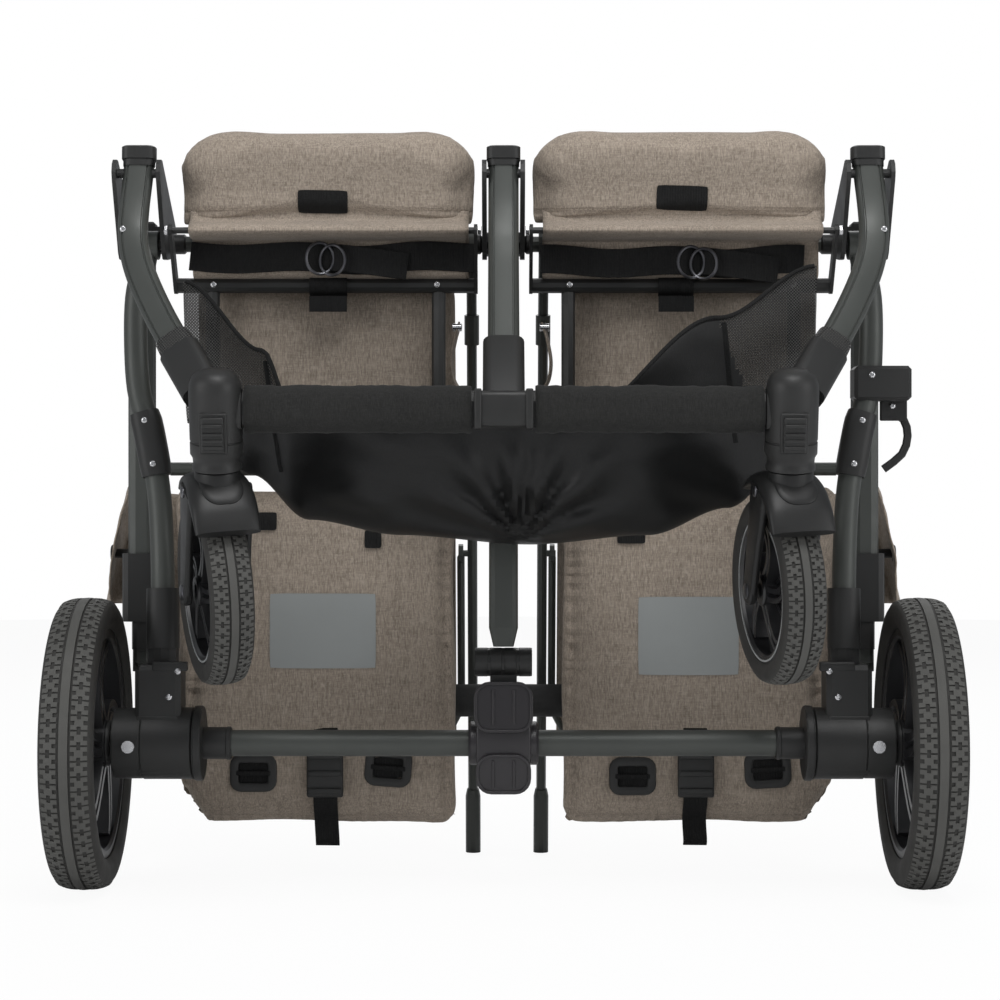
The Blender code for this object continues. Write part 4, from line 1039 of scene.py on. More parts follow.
def tread_band(radius, start, width, fall, pitch, way):
    """One tread block, standing on the tyre at the top of the wheel."""
    bm = bmesh.new()
    feet, tops = [], []
    for u, v in BLOCK:
        x = way * (start + width * v)
        drop = fall * v ** 2.2
        for verts, r in ((feet, radius - 0.0022 - drop), (tops, radius - drop)):
            verts.append(bm.verts.new((x, r * sin(u * pitch), r * cos(u * pitch))))
    bm.faces.new(tops)
    for i in range(len(BLOCK)):
        j = (i + 1) % len(BLOCK)
        bm.faces.new((feet[i], feet[j], tops[j], tops[i]))
    return piece_from(bm, "tread_band", tread_rubber, smooth=False)


def tyre_piece(name, place, radius, inner, half, blocks):
    wall = inner + 0.46 * (radius - inner)
    side = [(0.82 * half, inner), (0.97 * half, inner + 0.20 * (radius - inner)), (1.0 * half, wall),
            (0.965 * half, radius - 0.0072), (0.87 * half, radius - 0.0042), (0.64 * half, radius - 0.0022),
            (0.24 * half, radius - 0.0013), (0.185 * half, radius - 0.0016), (0.165 * half, radius - 0.0003),
            (0.0, radius)]
    profile = side[:-1] + [(0.0, radius)] + [(-x, r) for x, r in side[:-1]][::-1]
    bm = bmesh.new()
    turned(bm, profile, 112)
    ring = piece_from(bm, name, tyre_rubber)
    ring.data.materials.append(tread_rubber)
    for face in ring.data.polygons:
        if abs(face.center.x) < 0.175 * half and face.center.yz.length > radius - 0.002:
            face.material_index = 1
    parts = [ring]
    for way in (-1, 1):
        band = tread_band(radius - 0.0004, 0.26 * half, 0.60 * half, 0.0030, 2 * pi / blocks, way)
        parts.append(run_tree(band, round_copies, Count=blocks, Phase=0.5 * way * pi / blocks,
                              Material=tread_rubber))
    whole = weld(parts, name)
    whole.data.transform(place)
    return whole


def caster_frame(side, turn=0.0):
    """From caster coordinates, whose Z is the swivel axis, to the stroller's."""
    foot = Matrix.Translation(at(side * 0.230, -0.118, 0.2555))
    return foot @ Matrix.Rotation(radians(14), 4, "X") @ Matrix.Rotation(turn, 4, "Z")


SIDES = {"left": -1, "right": 1}
TRAIL = 0.022
CASTER_TURN = {"left": radians(18), "right": radians(12)}
WHEEL_PLACES = {}
for side, way in SIDES.items():
    WHEEL_PLACES["rear", side] = Matrix.Translation(at(way * 0.3575, 0.0, 0.125))
    WHEEL_PLACES["front", side] = caster_frame(way, CASTER_TURN[side]) @ Matrix.Translation((0, TRAIL, 0))
for (end, side), place in WHEEL_PLACES.items():
    measures = (0.125, 0.0985, 0.0225, 62) if end == "rear" else (0.0785, 0.060, 0.018, 50)
    made = tyre_piece(end + "_tread_tyre_" + side, place, *measures)
    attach(made, end + "_wheel_" + side)
    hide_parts(end + "_tyre_" + side)
    print(made.name, len(made.data.polygons), "faces")

# %% [markdown]
# A rim is one plastic moulding: a channel that holds the tyre, five curved spokes with a groove along each, and a
# hub. The front rims carry a pale painted line at their lips.

# %% Rims
rim_line = hard_finish("rim_line", (0.30, 0.31, 0.31), 0.35, grain_size=1500.0, depth=0.05)


def rim_channel(bm, outer, wall, half):
    lip = 0.0022
    profile = [(half, outer - lip), (half - 0.3 * lip, outer), (-half + 0.3 * lip, outer),
               (-half, outer - lip),
               (-half, outer - wall * 0.72), (-half + lip, outer - wall), (-0.35 * half, outer - wall * 0.80),
               (0.35 * half, outer - wall * 0.80), (half - lip, outer - wall), (half, outer - wall * 0.72)]
    turned(bm, profile, 96)


def spoke(start, end, half, curl, width):
    """One spoke from hub to channel: a flat blade whose two faces have a groove."""
    bm = bmesh.new()
    line, scales = [], []
    for i in range(11):
        t = i / 10
        r = start + (end - start) * t
        angle = curl * t * t
        line.append((0.0, r * sin(angle), r * cos(angle)))
        scales.append(1.25 - 0.70 * t + 0.55 * t * t)
    outline = [(-0.5, -1.0), (-0.16, -1.0), (0.0, -0.55), (0.16, -1.0), (0.5, -1.0), (0.5, 1.0),
               (0.16, 1.0), (0.0, 0.55),
               (-0.16, 1.0), (-0.5, 1.0)]
    add_sweep(bm, line, [(a * width, b * half) for a, b in outline], (1, 0, 0), scales)
    return piece_from(bm, "spoke", rim_plastic)


def rim_piece(name, place, outer, wall, half, hub, hub_half, curl, cap):
    bm = bmesh.new()
    rim_channel(bm, outer, wall, half)
    turned(bm, [(hub_half, hub * 0.55), (hub_half, hub * 0.86), (hub_half - 0.0015, hub),
                (-hub_half + 0.0015, hub),
                (-hub_half, hub * 0.86), (-hub_half, hub * 0.55)], 40)
    turned(bm, [(cap, 0.0004), (cap, hub * 0.42), (cap - 0.001, hub * 0.52), (-cap + 0.001, hub * 0.52),
                (-cap, hub * 0.42), (-cap, 0.0004)], 40)
    body = piece_from(bm, name, rim_plastic)
    blades = run_tree(spoke(hub * 0.8, outer - wall * 0.86, half * 0.72, curl, hub * 0.82), round_copies,
                      Count=5, Phase=0.3,
                      Material=rim_plastic)
    ribs = run_tree(spoke(hub * 0.8, outer - wall * 0.86, half * 0.30, curl * 0.6, hub * 0.22),
                    round_copies, Count=5,
                    Phase=0.9, Material=rim_plastic)
    whole = weld([body, blades, ribs], name)
    whole.data.transform(place)
    return whole


for (end, side), place in WHEEL_PLACES.items():
    way = SIDES[side]
    if end == "rear":
        made = rim_piece("rear_spoked_rim_" + side, place, 0.0983, 0.0085, 0.0176, 0.0205, 0.0186, 0.55,
                         0.0168)
        collar_bm = bmesh.new()
        turned(collar_bm, [(-way * 0.0212, 0.0056), (-way * 0.0212, 0.0180), (-way * 0.0190, 0.0195),
                           (-way * 0.010, 0.0195),
                           (-way * 0.010, 0.0056)], 40)
        collar = piece_from(collar_bm, "collar", black_plastic)
        collar.data.transform(place)
        made = weld([made, collar], made.name)
    else:
        made = rim_piece("front_spoked_rim_" + side, place, 0.0598, 0.0065, 0.0152, 0.0130, 0.0165, 0.45,
                         0.0172)
        line_bm = bmesh.new()
        for face in (-1, 1):
            turned(line_bm, [(face * 0.0150, 0.0574), (face * 0.0156, 0.0574), (face * 0.0156, 0.0588),
                             (face * 0.0150, 0.0588)], 96)
        line_ring = piece_from(line_bm, "line_ring", rim_line)
        line_ring.data.transform(place)
        made = weld([made, line_ring], made.name)
    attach(made, end + "_wheel_" + side)
    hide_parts(end + "_rim_" + side)
    print(made.name, len(made.data.polygons), "faces")

# %% [markdown]
# The front legs are extruded tubes of a flat oval section with a fine groove along each edge of the face. One
# section is carried along each bent leg, and a moulded cap closes its upper end.

# %% Shared helpers for hard pieces
def local_block(name, low, high, bevel, material):
    """A block between two corners, in its piece's own coordinates, with rounded edges."""
    low, high = Vector(map(min, low, high)), Vector(map(max, low, high))
    bm = bmesh.new()
    bmesh.ops.create_cube(bm, size=1.0)
    bmesh.ops.scale(bm, vec=high - low, verts=bm.verts)
    bmesh.ops.translate(bm, vec=(low + high) / 2, verts=bm.verts)
    bmesh.ops.bevel(bm, geom=bm.edges[:], offset=bevel, segments=3, profile=0.5, affect="EDGES")
    return piece_from(bm, name, material)


def block(name, low, high, bevel, material):
    """The same between two corners in stroller coordinates."""
    return local_block(name, at(*low), at(*high), bevel, material)


def bar(name, line, outline, material, towards=(0, 1, 0), scales=None, closed=False):
    bm = bmesh.new()
    add_sweep(bm, line, outline, towards, scales, closed)
    return piece_from(bm, name, material)


def tube_x(name, x0, x1, yz, radius, material, count=32, edge=0.0006):
    """A round bar along X with softened ends."""
    bm = bmesh.new()
    low, high = sorted((x0, x1))
    turned(bm, [(high, 0.0002), (high, radius - edge), (high - edge, radius), (low + edge, radius),
                (low, radius - edge),
                (low, 0.0002)], count)
    made = piece_from(bm, name, material)
    made.data.transform(Matrix.Translation(at(0, *yz)))
    return made


def lathe(name, profile, material, count=40):
    """A round solid about Z from (radius, Z) points that start and end near the axis."""
    bm = bmesh.new()
    turned(bm, [(z, r) for r, z in profile], count)
    made = piece_from(bm, name, material)
    made.data.transform(Matrix.Rotation(-pi / 2, 4, "Y"))
    return made


def mount(parts, name, body, *hidden, slot=None):
    """Joins the parts of one piece and sets it on its body, in place of the CAD nodes that it stands for."""
    made = weld(parts, name) if len(parts) > 1 else parts[0]
    made.name = made.data.name = name
    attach(made, body)
    if hidden:
        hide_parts(*hidden)
    print(made.name, len(made.data.polygons), "faces")
    return made


def mirrored(points, way):
    return [(way * x, y, z) for x, y, z in points]


# %% Front legs
FACE = ((13.0, 0.0), (12.6, -2.6), (11.5, -4.8), (10.2, -6.2), (9.1, -6.9), (8.5, -6.1), (7.7, -6.2),
        (7.3, -7.4), (4.0, -7.9))
BACK = ((12.6, 2.6), (11.4, 5.0), (9.0, 7.0), (4.0, 7.9))
LEG_SECTION = [(a / 1000, b / 1000) for a, b in (
    *FACE, *[(-a, b) for a, b in FACE[::-1]], *[(-a, b) for a, b in BACK], *BACK[::-1])]
FRONT_LEG = ((0.3125, -0.0040, 0.6300), (0.3130, -0.0060, 0.6140), (0.3155, -0.0120, 0.5850),
             (0.3155, -0.0210, 0.5620),
             (0.3110, -0.0360, 0.5400), (0.3010, -0.0560, 0.5160), (0.2820, -0.0860, 0.4820),
             (0.2560, -0.1220, 0.4430))
LEG_END, LEG_BACK = at(*FRONT_LEG[-1]), (at(*FRONT_LEG[-2]) - at(*FRONT_LEG[-1])).normalized()
for side, way in (("left", -1), ("centre", 0), ("right", 1)):
    line = smooth_line([at(*p) for p in mirrored(FRONT_LEG, way)], 6)
    tube = bar("tube", line, LEG_SECTION, frame_paint)
    top = line[0]
    cap = bar("cap", [top + Vector((0, 0.0000, 0.0075)), top + Vector((0, 0, 0.0062)),
                      top + Vector((0, -0.0004, -0.0040)),
                      top + Vector((0, -0.0006, -0.0050))],
              box_outline(0.0290, 0.0196, 0.0062), black_plastic, scales=[0.86, 1.0, 1.0, 0.96])
    lip = bar("lip", [top + Vector((0, -0.0006, -0.0046)), top + Vector((0, -0.0010, -0.0100))],
              box_outline(0.0272, 0.0176, 0.0075), black_plastic)
    mount([tube, cap, lip], "front_leg_tube_" + side, "front_frame", "front_leg_" + side, slot="frame_paint")

# %% [markdown]
# The rear legs are plain round tubes. Half way up, a clamp cover with two screws hides the bend's joint, and at
# the foot each leg stands in a sleeve of the hub casting.

# %% Rear legs
REAR_LEG = ((0.2932, 0.0035, 0.2120), (0.2936, 0.0060, 0.2500), (0.2950, 0.0095, 0.3000),
            (0.2985, 0.0130, 0.3450),
            (0.3075, 0.0170, 0.3950), (0.3165, 0.0200, 0.4300), (0.3195, 0.0230, 0.4700),
            (0.3190, 0.0260, 0.5100),
            (0.3130, 0.0290, 0.5400), (0.3110, 0.0300, 0.5520))
COVER_SCREWS = []
for side, way in SIDES.items():
    line = smooth_line([at(*p) for p in mirrored(REAR_LEG, way)], 5)
    tube = bar("tube", line, round_outline(0.0103, 24), frame_paint)
    covered = [p for p in line if 0.350 < p.z < 0.410]
    cover = bar("cover", covered, box_outline(0.0262, 0.0262, 0.0085), black_plastic,
                scales=[0.93] + [1.0] * (len(covered) - 2) + [0.93])
    knuckle = tube_x("knuckle", way * 0.3000, way * 0.3220, (0.030, 0.556), 0.0126, frame_paint)
    mount([tube, cover, knuckle], "rear_leg_tube_" + side, "rear_frame", "rear_leg_" + side,
          slot="frame_paint")
    for share in (0.22, 0.78):
        spot = covered[round(share * (len(covered) - 1))]
        COVER_SCREWS.append(spot + Vector((0, -0.0133, 0)))

# %% Axle tube, centre leg's hinge barrel and hub castings
axle = [tube_x("axle", -0.2550, 0.2550, (0.0, 0.125), 0.0113, frame_paint, 40)]
mount(axle, "axle_tube", "rear_frame", "rear_axle_tube", slot="frame_paint")
barrel = [tube_x("knuckle", x, x + 0.0117, (0.0, 0.1947), 0.0124, black_plastic, edge=0.0012) for x in
          (-0.0246, -0.0123, 0.0001, 0.0126)]
collars = [tube_x("collar", -0.0158, 0.0158, (0.0, 0.125), 0.0148, black_plastic, 40, 0.0015)]
mount(barrel + collars, "hinge_barrel", "rear_frame")
for side, way in SIDES.items():
    rings = [tube_x("ring", way * a, way * b, (0.0, 0.125), r, black_plastic, 48, 0.0012) for a, b, r in
             ((0.2656, 0.3095, 0.0308), (0.2578, 0.2648, 0.0323), (0.3090, 0.3337, 0.0303),
              (0.2337, 0.2600, 0.0137),
              (0.2337, 0.2385, 0.0143))]
    foot = [at(way * 0.2931, 0.0030, 0.2060), at(way * 0.2932, 0.0035, 0.2120),
            at(way * 0.2936, 0.0068, 0.2575)]
    sleeve = bar("sleeve", foot, box_outline(0.0278, 0.0278, 0.0110), black_plastic)
    block_at = way * 0.2845
    lip = block("lip", (block_at - 0.0150, -0.0215, 0.1880), (block_at + 0.0150, -0.0120, 0.1960), 0.0014,
                black_plastic)
    plate = block("plate", (way * 0.2775, -0.0216, 0.1020), (way * 0.3125, -0.0195, 0.1500), 0.0012,
                  black_plastic)
    mount([*rings, sleeve, lip, plate], "hub_casting_" + side, "rear_frame", slot="black_plastic")

# %% [markdown]
# The rocker pedal has an upper plate to press for the brake and a lower one to free it. Each plate is a shallow
# tray with a raised rim and two ribs, so that a shoe doesn't slip.

# %% Brake pedal
def tray(middle_z, width, height, tilt):
    """One pedal plate in its own plane, leaning by tilt."""
    outline = box_outline(width, height, 0.0130, 5)
    front = [Vector((x, -0.0006, z)) for x, z in box_outline(width - 0.0024, height - 0.0024, 0.0120, 5)]
    parts = [bar("plate", [(0, 0, 0), (0, 0.0048, 0)], outline, pedal_plastic, (0, 0, 1))]
    parts.append(bar("rim", front, box_outline(0.0030, 0.0030, 0.0011), pedal_plastic, (0, 1, 0),
                     closed=True))
    for x in (-0.0088, 0.0088):
        rib = [(x, -0.0002, -0.34 * height), (x, -0.0002, 0.34 * height)]
        parts.append(bar("rib", rib, box_outline(0.0026, 0.0024, 0.0009), pedal_plastic))
    whole = weld(parts, "tray")
    whole.data.transform(Matrix.Translation(at(0, -0.0215, middle_z)) @ Matrix.Rotation(tilt, 4, "X"))
    return whole


pedal = [tray(0.1575, 0.0500, 0.0430, radians(-5)), tray(0.1005, 0.0465, 0.0340, radians(5)),
         tube_x("drum", -0.0300, 0.0300, (0.0, 0.125), 0.0187, pedal_plastic, 48, 0.0020),
         block("bridge", (-0.0235, -0.0200, 0.1090), (0.0235, -0.0100, 0.1420), 0.0020, pedal_plastic)]
mount(pedal, "rocker_pedal", "brake_pedal", "brake_pedal", slot="pedal_plastic")

# %% [markdown]
# Each caster turns in a domed housing that also takes the leg's end and the cross bar. A ribbed slide on the
# housing's face locks the swivel. The fork's crown has a round-cornered lid, and its legs end in bolt caps.

# %% Caster housings and forks
CROWN = smooth_line([(68, 0.0440, 0.0060), (82, 0.0480, 0.0150), (98, 0.0510, 0.0205), (110, 0.0535, 0.0205),
                     (121, 0.0540, 0.0165), (128, 0.0535, 0.0120), (134, 0.0525, 0.0080)], 4)


def crown_point(x, degrees, lift):
    """A point on the crown's outer face, at an angle round the wheel's axle."""
    for before, after in zip(CROWN, CROWN[1:]):
        if before.x <= degrees <= after.x:
            _, width, depth = before.lerp(after, (degrees - before.x) / (after.x - before.x))
    r = 0.0830 + depth / 2 + depth / 2 * (1 - min(1.0, abs(2 * x / width)) ** 3.6) ** 0.375 + lift
    return Vector((x, TRAIL + r * cos(radians(degrees)), r * sin(radians(degrees))))


def crown_lid():
    """The raised lid on the crown: rings of a round-cornered outline laid on its curve."""
    bm = bmesh.new()
    rings = []
    for size, lift in ((1.0, -0.0012), (1.0, 0.0006), (0.95, 0.0013), (0.75, 0.0015), (0.50, 0.0015),
                       (0.20, 0.0015)):
        outline = box_outline(0.0340, 0.0400, 0.0130, 7)
        rings.append([crown_point(a * size, 108 - b * size * 680, lift) for a, b in outline])
    add_skin(bm, rings)
    return piece_from(bm, "lid", fork_plastic)


def fork_leg(face):
    """One leg: a plate with round edges that widens from the wheel bolt up to the crown, and its round end."""
    foot, top = Vector((face * 0.0240, TRAIL, 0.0)), Vector((face * 0.0238, 0.0030, 0.0900))
    across = Vector((0, 0.0900, TRAIL - 0.0030)).normalized()
    bm = bmesh.new()
    rings = []
    for share, width in ((0, 0.0225), (0.2, 0.0232), (0.5, 0.0262), (0.8, 0.0315), (1.0, 0.0350)):
        middle = foot.lerp(top, share)
        rings.append([middle + Vector((a, 0, 0)) + b * across for a, b in box_outline(0.0068, width, 0.0030)])
    add_skin(bm, rings)
    end_cap = tube_x("cap", face * 0.0206, face * 0.0274, (TRAIL - DEPTH, 0.0), 0.0113, fork_plastic, 32,
                     0.0015)
    return [piece_from(bm, "leg", fork_plastic), end_cap]


def fork_shell():
    """The domed crown, its legs and the collar under the housing."""
    bm = bmesh.new()
    rings = []
    for degrees, width, depth in CROWN:
        ring = []
        for a, b in oval(2.0, 2.0, 36):
            r = 0.0830 + depth / 2 * (1 + b)
            ring.append(Vector((a * width / 2, TRAIL + r * cos(radians(degrees)), r * sin(radians(degrees)))))
        rings.append(ring)
    add_skin(bm, rings)
    crown = piece_from(bm, "crown", fork_plastic)
    collar = lathe("collar", ((0.0003, 0.0930), (0.0178, 0.0930), (0.0186, 0.0940), (0.0186, 0.1040),
                              (0.0180, 0.1055), (0.0003, 0.1055)),
                   fork_plastic, 40)
    return [crown, collar, *fork_leg(-1), *fork_leg(1)]


HOUSING = ((0.0003, 0.1885), (0.0080, 0.1880), (0.0140, 0.1862), (0.0182, 0.1825), (0.0206, 0.1765),
           (0.0212, 0.1700),
           (0.0212, 0.1313), (0.0203, 0.1306), (0.0203, 0.1297), (0.0212, 0.1290), (0.0212, 0.1200),
           (0.0194, 0.1170),
           (0.0190, 0.1125), (0.0200, 0.1100), (0.0200, 0.1069), (0.0003, 0.1069))
for side, way in SIDES.items():
    still, placed_fork = caster_frame(way), caster_frame(way, CASTER_TURN[side])
    dome = lathe("dome", HOUSING, black_plastic, 48)
    window = local_block("window", (-0.0112, -0.0222, 0.1235), (0.0112, -0.0190, 0.1565), 0.0012,
                   black_plastic)
    for made in (dome, window):
        made.data.transform(still)
    end = Vector((way * LEG_END.x, LEG_END.y, LEG_END.z))
    back = Vector((way * LEG_BACK.x, LEG_BACK.y, LEG_BACK.z))
    socket = bar("socket", [end + 0.0175 * back, end + 0.0165 * back, end - 0.034 * back],
                 box_outline(0.0345, 0.0235, 0.0085, 4),
                 black_plastic, scales=[0.95, 1.0, 1.0])
    boss_line = [at(way * x, -0.154, 0.4065) for x in (0.2090, 0.2110, 0.2300)]
    boss = bar("boss", boss_line, oval(0.0350, 0.0240), black_plastic, scales=[0.93, 1.0, 1.0])
    mount([dome, window, socket, boss], "caster_socket_" + side, "front_frame", "caster_housing_" + side,
          slot="black_plastic")
    slide = [local_block("slide", (-0.0090, -0.0268, 0.1252), (0.0090, -0.0216, 0.1538), 0.0012,
                   black_plastic)]
    for z, depth in ((0.1295, 0.0283), (0.1350, 0.0285), (0.1405, 0.0287), (0.1475, 0.0300)):
        slide.append(local_block("rib", (-0.0082, -depth, z - 0.0014),
                           (0.0082, -0.0240, z + 0.0014), 0.0007, black_plastic))
    for made in slide:
        made.data.transform(still)
    mount(slide, "lock_slide_" + side, "swivel_lock_" + side, "swivel_lock_" + side, slot="black_plastic")
    details = [*fork_shell(), crown_lid()]
    for face in (-1, 1):
        bm = bmesh.new()
        turned(bm, [(face * 0.0270, 0.0002), (face * 0.0290, 0.0002), (face * 0.0290, 0.0050),
                    (face * 0.0280, 0.0064),
                    (face * 0.0270, 0.0064)], 28)
        bolt = piece_from(bm, "bolt", dark_steel)
        bolt.data.transform(Matrix.Translation((0, TRAIL, 0)))
        pin = bolt.copy()
        pin.data = bolt.data.copy()
        scene.collection.objects.link(pin)
        pin.data.transform(Matrix.Translation((0, 0.012 - TRAIL, 0.088)) @ Matrix.Diagonal((1, 0.7, 0.7, 1)))
        details += [bolt, pin]
    for made in details:
        made.data.transform(placed_fork)
    mount(details, "smooth_fork_" + side, "caster_" + side, "caster_fork_" + side)
    wrap_line = [end + 0.034 * back, end + 0.026 * back, end + 0.010 * back]
    wrap = bar("net_wrap_" + side, wrap_line, box_outline(0.0300, 0.0195, 0.0085, 4), basket_net,
               scales=[1.0, 1.03, 1.06])
    mount([wrap], "net_wrap_" + side, "front_frame")

# %% [markdown]
# The cross bar's middle joins the centre leg: a block with a flange at each end, and the leg's sleeve above it.

# %% Cross-bar centre
centre_parts = [block("block", (-0.0232, -0.1695, 0.3925), (0.0232, -0.1385, 0.4205), 0.0040, black_plastic)]
for x in (-0.0205, 0.0205):
    centre_parts.append(block("flange", (x - 0.0030, -0.1712, 0.3905), (x + 0.0030, -0.1375, 0.4225),
                              0.0014, black_plastic))
end, back = Vector((0, LEG_END.y, LEG_END.z)), Vector((0, LEG_BACK.y, LEG_BACK.z)).normalized()
centre_parts.append(bar("sleeve", [end + 0.0250 * back, end + 0.0240 * back, end - 0.0400 * back],
                        box_outline(0.0338, 0.0222, 0.0075, 4),
                        black_plastic, scales=[0.95, 1.0, 1.0]))
mount(centre_parts, "cross_bar_centre", "front_frame", slot="black_plastic")

# %% Grip and handle
grip_line = [at(-0.2552 + 0.5104 * i / 60, 0.145, 0.150) for i in range(61)]
grip_scales = [0.80 if i in (0, 60) else 1.0 + 0.012 * noise.noise(Vector((i * 0.9, 0,
                                                                           0))) for i in range(61)]
grip = bar("foam_grip", grip_line, round_outline(0.0150, 32), grip_foam, scales=grip_scales)
mount([grip], "foam_grip", "handle", "handle_grip", slot="grip_foam")

# %% [markdown]
# Under each calf rest the seat's cloth runs on as a flap, whose upper edge is tucked into the rest. It belongs to
# the seat, so it stays there when the rest turns. A webbing strap crosses it with two metal rings, and small
# loops of cloth hold the seat to its front tube.

# %% Cloth laid on pads
def surface_y(pad, x, z):
    """Y of the pad's front face at a place, or None beside the pad."""
    hit, spot, _, _ = pad.ray_cast(Vector((x, -1.0, z)), Vector((0, 1, 0)))
    return spot.y if hit else None


def patch(name, pad, middle, size, material, tilt=0.0, thick=0.0008, corner=0.002, lift=0.0003, columns=12,
          rows=9):
    """A flat trim laid on a pad's front face, following its surface."""
    bm = bmesh.new()
    sheets = []
    for out in (lift + thick, -0.0006):
        grid = []
        for r in range(rows + 1):
            line = []
            for c in range(columns + 1):
                u, v = -1 + 2 * c / columns, -1 + 2 * r / rows
                pull = corner * 0.30 * abs(u * v) ** 6
                x, z = u * (size[0] / 2 - pull), v * (size[1] / 2 - pull)
                px, pz = middle[0] + x * cos(tilt) - z * sin(tilt), middle[1] + x * sin(tilt) + z * cos(tilt)
                y = surface_y(pad, px, pz)
                line.append(bm.verts.new((px, (y if y is not None else surface_y(pad, *middle)) - out, pz)))
            grid.append(line)
        for low, high in zip(grid, grid[1:]):
            for a, b, c, d in zip(low, low[1:], high[1:], high):
                bm.faces.new((a, b, c, d))
        sheets.append([*grid[0], *[row[-1] for row in grid[1:-1]], *grid[-1][::-1],
                       *[row[0] for row in grid[1:-1]][::-1]])
    for i in range(len(sheets[0])):
        j = (i + 1) % len(sheets[0])
        bm.faces.new((sheets[0][i], sheets[0][j], sheets[1][j], sheets[1][i]))
    return piece_from(bm, name, material)


def strip(name, line, width, thick, material, across=(0, 0, 1)):
    """A strap of webbing: a flat band along a line, its width along one direction."""
    bm = bmesh.new()
    add_sweep(bm, line, box_outline(thick, width, min(thick, width) * 0.3, 1), across)
    return piece_from(bm, name, material)


def ring_round(name, middle, radius, wire, material, lean=0.0, flat=1.0):
    """A wire ring square to Y."""
    line = [Vector((radius * cos(2 * pi * i / 28), 0,
                    flat * radius * sin(2 * pi * i / 28))) for i in range(28)]
    made = bar(name, line, round_outline(wire, 8), material, (0, 1, 0), closed=True)
    made.data.transform(Matrix.Translation(middle) @ Matrix.Rotation(lean, 4, "Z"))
    return made


pads = {(kind, side): bpy.data.objects[kind + "_" + side] for kind in ("backrest_pad", "calf_pad",
                                                                       "seat_cushion") for side in SIDES}

# %% Knee flaps, straps and loops
STRAPS = {"left": (-0.0225, -0.2730, -0.1555, 0.5460), "right": (0.0320, 0.2620, 0.1670, 0.5428)}
FLAP_START, FLAP_WIDTH, FLAP_SHIFT = 0.0300, 0.2410, {"left": 0.0, "right": 0.0040}
LOOPS = {"left": ((-0.1533, 0.033),), "right": ((0.1510, 0.031),)}
for side, (inner, outer, ring_x, belt_z) in STRAPS.items():
    way = SIDES[side]
    bm = bmesh.new()
    grid = []
    drop = smooth_line([(0, 0.0560, 0.5265), (0, 0.0345, 0.5300), (0, 0.0325, 0.5420), (0, 0.0320, 0.5595),
                        (0, 0.0120, 0.5618),
                        (0, -0.0010, 0.5650), (0, 0.0002, 0.5695), (0, 0.0060, 0.5722), (0, 0.0130, 0.5762),
                        (0, 0.0165, 0.5840)], 5)
    for c in range(61):
        x = way * (FLAP_START + FLAP_WIDTH * c / 60) + FLAP_SHIFT[side]
        line = []
        for i, p in enumerate(drop):
            wave = 0.0018 * sin(pi * i / (len(drop) - 1)) * noise.noise(Vector((x * 22, p.z * 30, way)))
            line.append(bm.verts.new(at(x, p.y + wave, p.z)))
        grid.append(line)
    for low, high in zip(grid, grid[1:]):
        for a, b, c, d in zip(low, low[1:], high[1:], high):
            bm.faces.new((a, b, c, d))
    flap = piece_from(bm, "knee_flap_" + side, seat_fabric)
    wall = flap.modifiers.new("wall", "SOLIDIFY")
    wall.thickness, wall.offset = 0.0016, 0.0
    mount([bake_modifiers(flap)], "knee_flap_" + side, "seat_frame", slot="seat_fabric")

    belt = []
    for i in range(41):
        x = inner + (outer - inner) * i / 40
        belt.append(at(x, 0.0285 + 0.0012 * sin(i * 0.5),
                       belt_z + 0.0016 * sin(i * 0.35 + way) - 0.0015 * sin(pi * i / 40)))
    strap = strip("strap", belt, 0.0250, 0.0016, webbing_cloth)
    tail_line = [at(ring_x + dx, 0.0262 - dy, belt_z - 0.0007 - dz) for dx, dy, dz in
                 ((0.006, 0.0, 0.0), (0.020, 0.0030, 0.0015), (0.040, 0.0038, 0.0040),
                  (0.062, 0.0022, 0.0068), (0.072, 0.0010, 0.0080))]
    tail = strip("tail", smooth_line(tail_line, 5), 0.0235, 0.0015, webbing_cloth, (0.1, 0, 1))
    belt_piece = mount([strap, tail], "seat_strap_" + side, "seat_frame")
    rings = [ring_round("ring", at(ring_x - 0.004, 0.0225, belt_z - 0.0020), 0.0122, 0.0014, dark_steel,
                        0.3, 1.12),
             ring_round("ring", at(ring_x + 0.007, 0.0215, belt_z - 0.0035), 0.0118, 0.0014, dark_steel,
                        -0.35, 1.12)]
    ring_piece = mount(rings, "strap_rings_" + side, "seat_frame")
    for x, width in LOOPS[side]:
        loop_bm = bmesh.new()
        wrap_line = [at(x, 0.043 - 0.0086 * cos(a),
                        0.522 - 0.0086 * sin(a)) for a in [radians(-150 + 15 * k) for k in range(17)]]
        wrap_line += [at(x, 0.0352, 0.5120), at(x, 0.0346, 0.5040), at(x, 0.0350, 0.4985)]
        add_sweep(loop_bm, wrap_line, box_outline(width, 0.0014, 0.0004, 1),
                  [(p - at(x, 0.043, 0.515)) for p in wrap_line])
        loop = piece_from(loop_bm, "tube_loop_" + side, webbing_cloth)
        mount([loop], "tube_loop_" + side, "seat_frame")

# %% [markdown]
# Sewn and clipped trim lies on the pads: plain grey panels, small black tabs, the frames of the belt slots, and
# the recline strap with its clip. A ray is cast to the pad behind each of them, so that they follow its surface.

